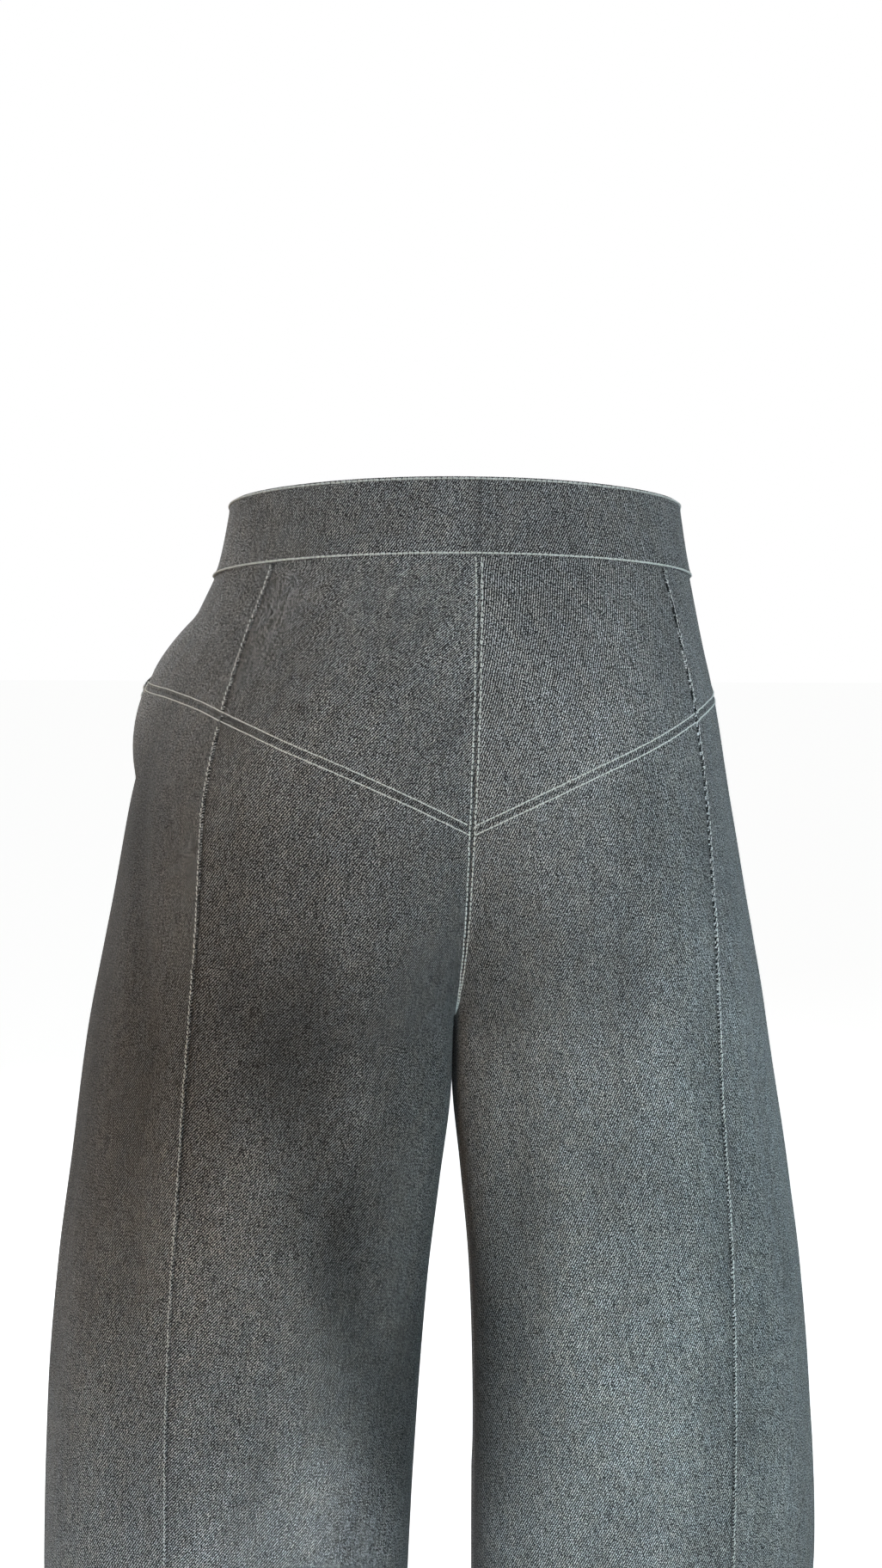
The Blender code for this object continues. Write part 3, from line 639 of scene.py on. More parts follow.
def sewn_relief(side, share, level, above_yoke):
    """How far the sewing lifts or sinks the cloth, its painted shade, and its paler edges (wear
    and painted light).
    """
    share, level = spread(share, level)
    relief = np.zeros(share.shape)
    shade = np.zeros(share.shape)
    width = FORM.width(share, level)
    phase = 0.6 + side

    def lay(amounts, where):
        relief[where] += amounts[0][where]
        shade[where] += amounts[1][where]

    rise = level > CROTCH_LEVEL
    from_front = share * width
    fly = (level > FLY_FOOT - 6) & (from_front < FLY_WIDTH + 8)
    over = ease((level - FLY_FOOT + 4) / 14)
    if side == LEFT:
        # Painted shade along the fly's rows, and a paler left front edge, partly rubbed wear and
        # partly painted highlight
        edge = FLY_EDGE * over * (1 - ease((from_front - 3) / 10)) - 0.5 * bump(from_front, 0.6)
        rows = 0
        for reach in FLY_ROWS:
            rows = rows - 0.35 * bump(fly_distance(from_front, level, reach), 0.7)
        lay((edge + rows + 0.2 * pucker(level, 1.3) * bump(from_front - 33, 6),
             0.15 * bump(from_front, 0.8) + rows), fly)
    else:
        # Painted shadow on the right front under the edge of the left front
        lay((-0.9 * over * (1 - ease((from_front - 1) / 9)), -0.9 * bump(from_front, 1.5)), fly)
    lay(open_seam((1 - share) * width, CENTRE_ROWS, level, phase), (share > 0.9) & rise)
    lay(open_seam(from_front, CENTRE_ROWS, level, phase + 2),
        (share < 0.1) & rise & (level < FLY_FOOT))
    for which, outboard in (("front", 1), ("back", -1)):
        distance = seam_distance(which, share, level)
        lay(lapped_seam(distance, level * side, outboard, phase + outboard), np.abs(distance) < 12)
    to_yoke = yoke_distance(share, level)
    from_front_seam = seam_distance("front", share, level)
    lay(open_seam(to_yoke, YOKE_ROWS, from_front, phase + 3),
        (np.abs(to_yoke) < 12) & (share >= MOUTH_END))
    mouth = (np.abs(to_yoke) < 16) & (share < MOUTH_END) & (from_front_seam > 0)
    if above_yoke:
        # Painted shade in the pocket mouth under the yoke's edge
        lay((-0.7 * ease((12 - to_yoke) / 10), -0.5 * bump(to_yoke, 3.0)), mouth)
    else:
        below = -to_yoke
        relief_at_mouth = (0.9 * (1 - ease(below / 9)) - 0.35 * bump(below, 0.4)
                           - 0.35 * bump(below - YOKE_ROWS, 0.6)
                           - 0.30 * bump(below - MOUTH_SECOND_ROW, 0.6))
        # Painted shade along the rows below the mouth, and a paler turned edge, partly rubbed wear
        # and partly painted highlight
        lay((relief_at_mouth, 0.25 * bump(below, 0.8) - 0.3 * bump(below - YOKE_ROWS, 0.9)
             - 0.3 * bump(below - MOUTH_SECOND_ROW, 0.9)), mouth)
    above_hem = level - HEM_LEVEL
    hem = above_hem < HEM_DEPTH + 8
    # Painted shade along the hem's row, and a paler fold at the hem, partly rubbed wear and partly
    # painted highlight
    lay((0.35 * (1 - ease((above_hem - HEM_DEPTH + 1) / 3)) - 0.5 * bump(above_hem, 0.6)
         - 0.4 * bump(above_hem - HEM_ROW, 0.8)
         + 0.3 * pucker(from_front * 0.55 - level * 0.3, phase) * bump(above_hem - HEM_ROW, 7),
         0.3 * bump(above_hem, 1.0) - 0.3 * bump(above_hem - HEM_ROW, 1.0)), hem)
    return relief, shade


def fly_distance(from_front, level, reach):
    """Millimetres from a row of the fly stitching, which curves in to the seam at its foot."""
    low = np.clip((level - FLY_FOOT - (FLY_ROWS[0] - reach)) / FLY_TURN, 0, 1)
    line = reach * np.sqrt(np.clip(1 - (1 - low) ** 2, 0, 1))
    return np.abs(from_front - line) / (1 + 1.2 * (1 - low))


def spacing(length, fine_start, fine_end, pitch=GRID_PITCH):
    """Parts of a length at which a grid has its lines, close together at a sewn edge."""
    start = np.array(EDGE_STEPS if fine_start else EDGE_STEPS[:1])
    end = length - np.array(EDGE_STEPS if fine_end else EDGE_STEPS[:1])[::-1]
    count = max(2, round((end[0] - start[-1]) / pitch) + 1)
    return np.concatenate([start[:-1], np.linspace(start[-1], end[0], count), end[1:]]) / length


def between(level, low, high, part):
    """The share that lies a part of the way, in cloth, between two shares, clear of both seams."""
    front = FORM.at_level(FORM.front_width, level)
    back = FORM.at_level(FORM.back_width, level)
    start = (low - 0.5) * np.where(low < 0.5, front, back) + SEAM_GAP / 2
    end = (high - 0.5) * np.where(high < 0.5, front, back) - SEAM_GAP / 2
    here = start + (end - start) * part
    return 0.5 + here / np.where(here < 0, front, back), here - start


EDGES = {
    "front_middle": lambda level: np.zeros(np.shape(level)),
    "front_seam": lambda level: FORM.seam("front", level),
    "back_seam": lambda level: FORM.seam("back", level),
    "back_middle": lambda level: np.ones(np.shape(level)),
}


def panel_grid(stretches, low, high, parts):
    """Shares, levels and widths from one edge over a panel made of stretches of rows."""
    shares, levels, widths = [], [], []
    for lower, upper, row_parts in stretches:
        t = np.asarray(row_parts)[:, None]
        share = np.full((len(row_parts), len(parts)), 0.5)
        for _ in range(ROW_ROUNDS):
            level = lower(share) * (1 - t) + upper(share) * t
            share, width = between(level, EDGES[low](level), EDGES[high](level), parts[None, :])
        shares.append(share)
        levels.append(lower(share) * (1 - t) + upper(share) * t)
        widths.append(width)
    return np.concatenate(shares), np.concatenate(levels), np.concatenate(widths)


# ---------------------------------------------------------------------------------------------
# Meshes

def new_object(name, data):
    """An object in the scene."""
    thing = bpy.data.objects.new(name, data)
    bpy.context.scene.collection.objects.link(thing)
    return thing


def add_piece(name, points, faces, materials, slots=None, maps=None, shades=None):
    """A mesh object with smooth faces, a metric cloth map and the painted shade and light of its
    sewing, folds and legs.
    """
    mesh = bpy.data.meshes.new(name)
    mesh.from_pydata((np.asarray(points) * MM).tolist(), [], faces)
    for material in materials:
        mesh.materials.append(material)
    if slots is not None:
        mesh.polygons.foreach_set("material_index", slots)
    if maps is not None:
        corners = np.empty(len(mesh.loops), dtype=np.int32)
        mesh.loops.foreach_get("vertex_index", corners)
        layer = mesh.uv_layers.new(name="cloth")
        layer.uv.foreach_set("vector", (np.asarray(maps)[corners] * MM).astype(np.float32).ravel())
    if shades is not None:
        layer = mesh.attributes.new("sewing", "FLOAT", "POINT")
        layer.data.foreach_set("value", np.asarray(shades, dtype=np.float32))
    mesh.shade_smooth()
    return new_object(name, mesh)


def dress(piece, slot, *nodes):
    """Hangs a piece on the garment and hides the solids that it stands for."""
    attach(piece, "root")
    if nodes:
        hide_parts(*nodes)


def shell(name, outer, inner, maps, shades, materials, flip):
    """A closed thin wall between an outer and an inner grid of points."""
    rows, columns = outer.shape[:2]
    count = rows * columns
    index = np.arange(count).reshape(rows, columns)
    a, b, c, d = index[:-1, :-1], index[:-1, 1:], index[1:, 1:], index[1:, :-1]
    face = np.stack([a, b, c, d], axis=-1).reshape(-1, 4)
    back = np.stack([a, d, c, b], axis=-1).reshape(-1, 4) + count
    rim = np.concatenate([index[0, :], index[1:, -1], index[-1, -2::-1], index[-2:0:-1, 0]])
    turn = np.roll(rim, -1)
    edge = np.stack([turn, rim, rim + count, turn + count], axis=-1)
    faces = np.concatenate([face, back, edge])
    if flip:
        faces = faces[:, ::-1]
    slots = np.zeros(len(faces), dtype=np.int32)
    slots[len(face):len(face) + len(back)] = 1
    points = np.concatenate([outer.reshape(-1, 3), inner.reshape(-1, 3)])
    both = [np.concatenate([column.reshape(count, -1)] * 2) for column in (maps, shades)]
    both[1][count:] = 0.0
    return add_piece(name, points, faces.tolist(), materials, slots, both[0], both[1].ravel())


def grid_size(points):
    """The flat width, length and area of a grid of points, in metres."""
    across = np.linalg.norm(np.diff(points, axis=1), axis=-1).sum(axis=1).max()
    along = np.linalg.norm(np.diff(points, axis=0), axis=-1).sum(axis=0).max()
    a = points[1:, 1:] - points[:-1, :-1]
    b = points[1:, :-1] - points[:-1, 1:]
    area = np.linalg.norm(np.cross(a, b), axis=-1).sum() / 2
    return across * MM, along * MM, area * MM * MM


def turned(across, along, degrees):
    """A place on the cloth's own grain, which leans by some degrees from the panel's middle."""
    c, s = math.cos(math.radians(degrees)), math.sin(math.radians(degrees))
    return np.stack([across * c + along * s, along * c - across * s], axis=-1)


def cut_panel(name, side, stretches, low, high, width, above_yoke, thickness):
    """One cut piece of denim, laid on the form and sunk and raised by its sewing."""
    parts = spacing(width, True, True)
    share, level, run = panel_grid(stretches, low, high, parts)
    points, normals = cloth_frame(side, share, level)
    relief, shade = sewn_relief(side, share, level, above_yoke)
    # Painted shade in the folds' troughs, paler ridges, and the painted light and shade of the
    # legs
    shade = shade + FOLD_SHADE * fold_height(side, share, level) + painted_light_shade_and_wash(side, share, level)
    shade = np.maximum(shade, DARKEST)
    outer = points + normals * relief[..., None]
    inner = points - normals * thickness(level)[..., None]
    if low == "front_middle":
        run = run - run[:, -1:]
    maps = turned(run * side, level, -BACK_GRAIN * side if high == "back_middle" else 0.0)
    piece = shell(name + "_cloth", outer, inner, maps, shade, denim_faces(), side < 0)
    dress(piece, "denim", name)
    across, along, area = grid_size(points)


def leg_thickness(level):
    return CLOTH + (HEM_CLOTH - CLOTH) * (1 - ease((level - HEM_LEVEL - HEM_DEPTH + 1) / 2))


def plain_thickness(level):
    return np.full(np.shape(level), CLOTH)


def hem_line(share):
    return np.full(np.shape(share), HEM_LEVEL)


def crotch_line(share):
    return np.full(np.shape(share), CROTCH_LEVEL)


def under_yoke(share):
    return yoke_level(share) - SEAM_GAP / 2


def over_yoke(share):
    return yoke_level(share) + SEAM_GAP / 2


def under_band(share):
    return band_bottom(share) - SEAM_GAP / 2


def leg_stretches(top):
    """Rows from the hem to the crotch and on up to the panel's top edge."""
    height = CROTCH_LEVEL - HEM_LEVEL
    hem = np.array(HEM_STEPS)
    leg = np.linspace(hem[-1], height, round((height - hem[-1]) / GRID_PITCH) + 1)[1:]
    rise = spacing(RISE_LENGTH, False, True)[1:]
    return ((hem_line, crotch_line, np.concatenate([hem, leg]) / height), (crotch_line, top, rise))


# ---------------------------------------------------------------------------------------------
# Materials

class Value:
    """A socket that takes part in Python expressions; each operation adds a Math node."""

    def __init__(self, look, socket):
        self.look = look
        self.socket = socket

    def __add__(self, other):
        return self.look.maths("ADD", self, other)

    def __sub__(self, other):
        return self.look.maths("SUBTRACT", self, other)

    def __mul__(self, other):
        return self.look.maths("MULTIPLY", self, other)

    def __truediv__(self, other):
        return self.look.maths("DIVIDE", self, other)

    __radd__ = __add__
    __rmul__ = __mul__

    def wave(self):
        """0 to 1 and back as the value runs through a whole turn."""
        return self.look.maths("SINE", self) * 0.5 + 0.5

    def over(self, low, high):
        """0 below one value, 1 above another, and soft between them."""
        node = self.look.add("ShaderNodeMapRange", {"interpolation_type": "SMOOTHSTEP"},
                             {"Value": self, "From Min": low, "From Max": high})
        return Value(self.look, node.outputs["Result"])


class Look:
    """A material under construction."""

    def __init__(self, name):
        self.material = bpy.data.materials.new(name)
        self.material.use_nodes = True
        self.tree = self.material.node_tree
        self.shader = self.tree.nodes["Principled BSDF"]

    def add(self, kind, settings=None, sockets=None):
        """A node with its settings, then the values or links of its sockets."""
        node = self.tree.nodes.new(kind)
        for name, value in (settings or {}).items():
            setattr(node, name, value)
        self.set(node, sockets or {})
        return node

    def set(self, node, sockets):
        for name, value in sockets.items():
            if isinstance(value, Value):
                self.tree.links.new(value.socket, node.inputs[name])
            else:
                node.inputs[name].default_value = value

    def maths(self, operation, *values):
        node = self.add("ShaderNodeMath", {"operation": operation}, dict(enumerate(values)))
        return Value(self, node.outputs[0])

    def cloth_place(self):
        """Distances across and along the grain, in millimetres."""
        spot = self.add("ShaderNodeUVMap", {"uv_map": "cloth"})
        parts = self.add("ShaderNodeSeparateXYZ", None, {0: Value(self, spot.outputs[0])})
        return Value(self, parts.outputs[0]) / MM, Value(self, parts.outputs[1]) / MM

    def attribute(self, name):
        node = self.add("ShaderNodeAttribute", {"attribute_name": name})
        return Value(self, node.outputs["Fac"])

    def noise(self, across, along, detail=1.0, lift=0.0):
        """Soft random values from 0 to 1; across and along are counted in grains."""
        place = self.add("ShaderNodeCombineXYZ", None, {0: across, 1: along, 2: lift})
        node = self.add("ShaderNodeTexNoise", {"noise_dimensions": "3D"},
                        {"Vector": Value(self, place.outputs[0]), "Scale": 1.0, "Detail": detail})
        return Value(self, node.outputs["Fac"])

    def spotted(self, scale, detail=2.0):
        """Soft random values placed by the object's own coordinates."""
        place = self.add("ShaderNodeTexCoord")
        vector = Value(self, place.outputs["Object"])
        node = self.add("ShaderNodeTexNoise", None,
                        {"Vector": vector, "Scale": scale, "Detail": detail})
        return Value(self, node.outputs["Fac"])

    def blend(self, mask, first, second):
        """One colour turning into another with a mask."""
        node = self.add("ShaderNodeMix", {"data_type": "RGBA"},
                        {0: mask, 6: self.colour(first), 7: self.colour(second)})
        return Value(self, node.outputs[2])

    def tint(self, colour, amount):
        """A colour made darker or brighter by a value."""
        node = self.add("ShaderNodeVectorMath", {"operation": "SCALE"},
                        {0: colour, "Scale": amount})
        return Value(self, node.outputs[0])

    @staticmethod
    def colour(value):
        return value if isinstance(value, Value) else (*value, 1.0)

    def finish(self, height, distance, **sockets):
        """Wires the shader, with a bump of a real depth in metres."""
        node = self.add("ShaderNodeBump", None,
                        {"Height": height, "Distance": distance, "Strength": 1.0})
        self.set(self.shader, {name.replace("_", " "): value for name, value in sockets.items()})
        self.tree.links.new(node.outputs[0], self.shader.inputs["Normal"])
        return self.material


def denim_look(name, reverse):
    """Charcoal twill: dark diagonal ribs broken into short pale flecks, streaked down the warp.

    A noise's last number only sets it apart from the others.
    """
    settings = bpy.context.scene.jeans_cloth
    look = Look(name)
    across, along = look.cloth_place()
    pitch = settings.twill_pitch / MM
    lean = settings.twill_angle if not reverse else math.pi - settings.twill_angle
    drift = look.noise(across / 14, along / 18, 1.0, 3.0)
    over_rib = across * math.sin(lean) - along * math.cos(lean) + drift * 1.2
    on_rib = across * math.cos(lean) + along * math.sin(lean)
    wale = (over_rib * (2 * math.pi / pitch)).wave()
    dash = look.noise(over_rib / 0.55, on_rib / 0.95, 1.0)
    fleck = look.noise(across / 0.42, along / 0.5, 1.0, 5.0)
    streak = look.noise(across / 1.3, along / 8, 2.0, 7.0)
    broad = look.noise(across / 5, along / 70, 2.0, 9.0)
    cloud = look.noise(across / 40, along / 70, 2.0, 17.0)
    slub = look.noise(across / 0.85, along / 1.1, 1.0, 31.0)
    weave = (wale * 0.45 + dash * 1.2 + fleck * 1.3 + streak * 0.4 + slub * 0.75
             + (REVERSE_PALE if reverse else 0.0))
    pale = weave.over(PALE_FROM, PALE_TO)
    # The sewing attribute is painted shade and light from the sewing, the folds and the legs, with
    # rubbed wear on turned edges
    sewing = look.attribute("sewing")
    patches = 1 + (cloud - 0.5) * 0.6 + (broad - 0.5) * 0.55
    shade = (1 + sewing * (0.25 + fleck * 0.7)) * patches
    warmth = look.noise(across / 9, along / 16, 1.0, 23.0).over(0.35, 0.65)
    warm_weft = [x * y for x, y in zip(settings.weft, WARM_WEFT)]
    weft = look.blend(warmth, settings.weft, warm_weft)
    base = look.tint(look.blend(pale, settings.warp, weft), shade)
    height = wale * 0.5 + dash * 0.5 + fleck * 0.4
    return look.finish(height, 0.0002, Base_Color=base, Roughness=0.8 + fleck * 0.15,
                       Sheen_Weight=0.1, Sheen_Roughness=0.5, Specular_IOR_Level=0.22)


def thread_look():
    """Off-white twisted thread."""
    settings = bpy.context.scene.jeans_sewing
    look = Look("topstitching_thread")
    along, turn = look.cloth_place()
    ply = ((along * 1.9 + turn) * (2 * math.pi)).wave()
    dust = look.spotted(260)
    # Painted shade in the grooves between the thread's plies
    ply_groove_shade = [x * 0.82 for x in settings.colour]
    colour = look.tint(look.blend(ply, settings.colour, ply_groove_shade), 0.78 + dust * 0.42)
    return look.finish(ply, 0.00012, Base_Color=colour, Roughness=0.62 + dust * 0.2,
                       Sheen_Weight=0.15, Specular_IOR_Level=0.35)


def tape_look():
    """Herringbone zip tape."""
    look = Look("zip_tape_weave")
    across, along = look.cloth_place()
    chevron = look.maths("PINGPONG", across, 2.4)
    rib = ((along + chevron) * (2 * math.pi / 1.1)).wave()
    grain = look.noise(across / 0.4, along / 0.4)
    base = look.tint(look.blend(rib, bpy.context.scene.jeans_cloth.zip_tape, (0.07, 0.07, 0.08)),
                     0.7 + grain * 0.6)
    return look.finish(rib, 0.00015, Base_Color=base, Roughness=0.8 + grain * 0.15)


def metal_look():
    """Dull nickel, darker in random stained patches."""
    look = Look("dull_nickel")
    grain = look.spotted(2200)
    stain = look.spotted(240, 4.0)
    nickel = bpy.context.scene.jeans_cloth.metal
    colour = look.blend(stain.over(0.35, 0.7), nickel, (0.24, 0.23, 0.21))
    return look.finish(grain, 0.00004, Base_Color=colour, Roughness=0.26 + stain * 0.3,
                       Metallic=1.0)


# Each material is built once, when the first piece asks for it

@cache
def denim_faces():
    return [denim_look("charcoal_denim", False), denim_look("charcoal_denim_reverse", True)]


@cache
def thread():
    return [thread_look()]


@cache
def metal():
    return [metal_look()]


# ---------------------------------------------------------------------------------------------
# Stitches

STITCH_SIDES = 6
STITCH_RINGS = (          # share of its length from the middle, share of its thickness, rise
    (-0.50, 0.30, -0.75),
    (-0.36, 0.90, -0.10),
    (0.00, 1.00, 0.22),
    (0.36, 0.90, -0.10),
    (0.50, 0.30, -0.75),
)


def stitch_shape():
    """Points of one stitch as along, across and up in shares of its length and thickness."""
    points = []
    maps = []
    for place, fat, rise in STITCH_RINGS:
        for k in range(STITCH_SIDES):
            angle = 2 * math.pi * k / STITCH_SIDES
            points.append((place, 0.5 * fat * math.cos(angle),
                           0.5 * fat * math.sin(angle) + rise * 0.5))
            maps.append((place, k / STITCH_SIDES))
    faces = []
    for ring in range(len(STITCH_RINGS) - 1):
        for k in range(STITCH_SIDES):
            here, there = ring * STITCH_SIDES, (ring + 1) * STITCH_SIDES
            after = (k + 1) % STITCH_SIDES
            faces.append((here + k, here + after, there + after, there + k))
    last = (len(STITCH_RINGS) - 1) * STITCH_SIDES
    faces += [tuple(range(STITCH_SIDES))[::-1], tuple(range(last, last + STITCH_SIDES))]
    return np.array(points), faces, np.array(maps)


def run_length(points):
    """The length of a line from its start to each of its points."""
    steps = np.linalg.norm(np.diff(points, axis=0), axis=1)
    return np.concatenate([[0.0], np.cumsum(steps)])


def sew(name, lines, pitch=None, fill=0.86, thickness=None, lean=0.0, sink=STITCH_SINK,
        seed=1, ragged=1.0):
    """Stitches along lines of points and normals, joined into one piece.

    Fill is a stitch's length as a share of the pitch, and lean its slant in degrees.
    """
    settings = bpy.context.scene.jeans_sewing
    pitch = pitch or settings.stitch / MM
    thickness = thickness or settings.thickness / MM
    random = np.random.default_rng(seed)
    shape, faces, maps = stitch_shape()
    points, quads, places = [], [], []
    count = 0
    for line, normals in lines:
        lengths = run_length(line)
        at = (np.arange(max(1, int(lengths[-1] / pitch))) + 0.5) * pitch
        ahead = np.minimum(at + 0.3 * pitch, lengths[-1])
        behind = np.maximum(at - 0.3 * pitch, 0)
        read = [np.stack([np.interp(where, lengths, column[:, k]) for k in range(3)], axis=1)
                for where, column in ((at, line), (ahead, line), (behind, line), (at, normals))]
        middle, run, out = read[0], read[1] - read[2], unit(read[3])
        run = unit(run - out * (run * out).sum(axis=1, keepdims=True))
        cross = np.cross(out, run)
        turn = math.radians(lean) + random.normal(0, math.radians(TURN_SPREAD * ragged), len(at))
        run, cross = (run * np.cos(turn)[:, None] + cross * np.sin(turn)[:, None],
                      cross * np.cos(turn)[:, None] - run * np.sin(turn)[:, None])
        long = pitch * fill * (1 + random.normal(0, LENGTH_SPREAD * ragged, len(at)))
        thick = thickness * (1 + random.normal(0, THICKNESS_SPREAD * ragged, len(at)))
        middle = middle + cross * random.normal(0, PLACE_SPREAD * ragged, len(at))[:, None]
        middle = middle + out * (thick * 0.5 - sink)[:, None]
        stitch = (middle[:, None] + run[:, None] * (shape[:, 0] * long[:, None])[..., None]
                  + cross[:, None] * (shape[:, 1] * thick[:, None])[..., None]
                  + out[:, None] * (shape[:, 2] * thick[:, None])[..., None])
        points.append(stitch.reshape(-1, 3))
        for i in range(len(at)):
            first = count + i * len(shape)
            quads += [tuple(first + k for k in face) for face in faces]
        places.append(np.tile(maps, (len(at), 1)))
        count += len(at) * len(shape)
    piece = add_piece(name, np.concatenate(points), quads, thread(), maps=np.concatenate(places))
    dress(piece, "thread")


def line_on_cloth(side, share, level, above_yoke=False):
    """A sewing line on the cloth's sewn face."""
    points, normals = cloth_frame(side, share, level)
    relief, _ = sewn_relief(side, share, level, above_yoke)
    return points + normals * relief[..., None], normals


def levels_between(low, high):
    return np.linspace(low, high, max(2, int(abs(high - low) / SEWING_STEP) + 1))


def middle_rows(side):
    """The row beside the seat seam from the band down, and the one below the fly, both to the
    crotch."""
    seat = levels_between(float(under_band(1.0)) - 0.3, CROTCH_LEVEL + 4)
    rise = levels_between(FLY_FOOT, CROTCH_LEVEL + 4)
    return [line_on_cloth(side, 1 - CENTRE_ROWS / FORM.at_level(FORM.back_width, seat), seat),
            line_on_cloth(side, CENTRE_ROWS / FORM.at_level(FORM.front_width, rise), rise)]


def yoke_row(side, start, end, offset):
    """A row along the line under the yoke; a negative offset is below it."""
    share = np.linspace(start, end, 160)
    slope = np.gradient(yoke_level(share), share) / FORM.width(share, yoke_level(share))
    level = yoke_level(share) + offset * np.hypot(1, slope)
    return line_on_cloth(side, share, level, above_yoke=offset > 0)


def panel_rows(side, which):
    """The row on a lapped panel seam, below and above the yoke's rows."""
    outboard = 1 if which == "front" else -1
    lines = []
    crossing = yoke_crossing(which)
    top = float(under_band(float(FORM.seam(which, BAND_SEAM_READ)))) - 0.5
    for low, high in ((HEM_LEVEL + 2, crossing - YOKE_ROWS - 1.0),
                      (crossing + YOKE_ROWS + 1.0, top)):
        level = levels_between(low, high)
        share = FORM.seam(which, level)
        share = share + outboard * LAP_ROW / FORM.width(share, level)
        lines.append(line_on_cloth(side, share, level, above_yoke=low > crossing))
    return lines


def yoke_crossing(which):
    """The level at which a panel seam meets the line under the yoke, closed in on by rounds."""
    level = YOKE_LINE["level"].mean()
    for _ in range(YOKE_ROUNDS):
        level = float(yoke_level(FORM.seam(which, level)))
    return level


# ---------------------------------------------------------------------------------------------
# The waistband and the fly

def band_stations():
    """Side, share and step inwards of places along the band, buttonhole end first."""
    count = round(0.5 * float(FORM.at_level(FORM.front_width, BAND_READ)) / STATION_PITCH)
    shares = np.linspace(0, 1, 2 * count + 1)
    left = [(LEFT, share, 0.0) for share in shares]
    right = [(RIGHT, share, UNDERLAP_STEP * (1 - float(ease(share / STEP_SHARE))))
             for share in shares[-2::-1]]
    end = UNDERLAP / FORM.front_cloth(UNDERLAP_READ)
    parts = np.linspace(0, 1, round(UNDERLAP / STATION_PITCH) + 1)[1:]
    return left + right + [(LEFT, end * part, UNDERLAP_STEP) for part in parts]


def band_surface(stations, parts):
    """Points, normals and steps inwards of the band at parts of its height from the bottom up."""
    side = np.array([s for s, _, _ in stations])
    share = np.array([s for _, s, _ in stations])[None, :]
    drop = np.array([d for _, _, d in stations])[None, :, None]
    parts = np.asarray(parts)[:, None]
    level = (band_bottom(share) + SEAM_GAP / 2) * (1 - parts) + band_top(share) * parts
    share = np.broadcast_to(share, level.shape)
    points, normals = either_half((side > 0)[None, :], share, level)
    return points, normals, drop, level


def band_relief(from_bottom, from_top, from_end, from_join, along):
    """The band's turned edges, its two rows of stitching and the drag between them, with painted
    shade along its rows and join and paler edges, partly wear and partly painted highlight.
    """
    relief = shade = 0.0
    for distance, phase in ((from_bottom, 0.4), (from_top, 2.2)):
        relief = (relief - 0.55 * bump(distance, 0.45) - 0.38 * bump(distance - EDGE_ROW, 0.55)
                  + 0.16 * bump(distance - EDGE_ROW - 1.5, 1.1)
                  + 0.16 * pucker(along, phase) * bump(distance - 2, 3.5))
        shade = shade + 0.10 * bump(distance, 0.6) - 0.32 * bump(distance - EDGE_ROW, 0.8)
    relief = relief - 0.5 * bump(from_end, 0.5) - 0.35 * bump(from_end - EDGE_ROW, 0.6)
    relief = relief - 0.22 * bump(from_join, 0.6)
    shade = shade - 0.35 * bump(from_join, 0.7) + 0.12 * bump(from_join - 2.2, 1.4)
    relief = relief + 0.12 * np.sin(along / 37.0) + 0.10 * np.sin(along / 17.0 + from_bottom / 30)
    return relief, shade


def facing_turn(distance, level, proud):
    """A turn that lays X round the garment, Y up the left front and Z out of it, and the place."""
    share = distance / FORM.front_cloth(level)
    point, normal = cloth_frame(LEFT, np.array([share]), np.array([level]))
    out = Vector(normal[0])
    up = Vector((0.0, 0.0, 1.0))
    up = (up - out * up.dot(out)).normalized()
    turn = Matrix((up.cross(out), up, out)).transposed()
    return np.array(turn), point[0] + normal[0] * proud


def behind_fronts(levels, distances, depth, thickness):
    """Outer and inner points of a strip behind the fronts, at distances from centre front.

    Distances on the right front are negative. The top row follows the waistband.
    """
    outer, inner = [], []
    for i, level in enumerate(levels):
        row = np.array(distances(i), float)
        share = np.abs(row) / FORM.front_cloth(level)
        here = under_band(share) if i == len(levels) - 1 else np.full(share.shape, float(level))
        points, normals = either_half(row >= 0, share, here)
        outer.append(points - normals * depth)
        inner.append(points - normals * (depth + thickness))
    return np.array(outer), np.array(inner)


def fly_row(reach):
    """A row of the fly stitching, down from the band and curving in to centre front."""
    foot = FLY_FOOT + (FLY_ROWS[0] - reach)
    straight = np.linspace(float(under_band(0.1)) - 0.3, foot + FLY_TURN, 50)
    angle = np.linspace(0, math.pi / 2, 60)[1:]
    distance = np.concatenate([np.full(50, reach), 0.4 + (reach - 0.4) * np.cos(angle)])
    level = np.concatenate([straight, foot + FLY_TURN * (1 - np.sin(angle))])
    return line_on_cloth(LEFT, distance / FORM.width(NEAR_FRONT, level), level)


def tack(point, normal, run, height):
    """The line along which a bar tack is sewn, through a point."""
    normal = unit(normal)
    run = unit(run - normal * run.dot(normal))
    t = np.linspace(-0.5, 0.5, 9)[:, None]
    return point + run * t * height, np.repeat(normal[None], 9, axis=0)


def plate(node):
    """Gives a solid that stays in sight the finish of the button and the zip."""
    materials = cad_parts[node].data.materials
    materials.clear()
    materials.append(metal()[0])


class JEANS_OT_leg_panels(bpy.types.Operator):
    """Cuts and sews the six long panels"""
    bl_idname = "jeans.leg_panels"
    bl_label = "Leg panels"

    def execute(self, context):
        # Each panel's name, its edges, the width for which its grid is spaced, and its top edge
        for side, label in SIDES:
            for stem, low, high, width, top in (
                    ("back_leg", "back_seam", "back_middle", 150.0, under_yoke),
                    ("side_leg", "front_seam", "back_seam", 220.0, under_yoke),
                    ("front_leg", "front_middle", "front_seam", 160.0, under_band)):
                cut_panel(f"{stem}_{label}", side, leg_stretches(top), low, high, width,
                          stem == "front_leg", leg_thickness)
        return {"FINISHED"}


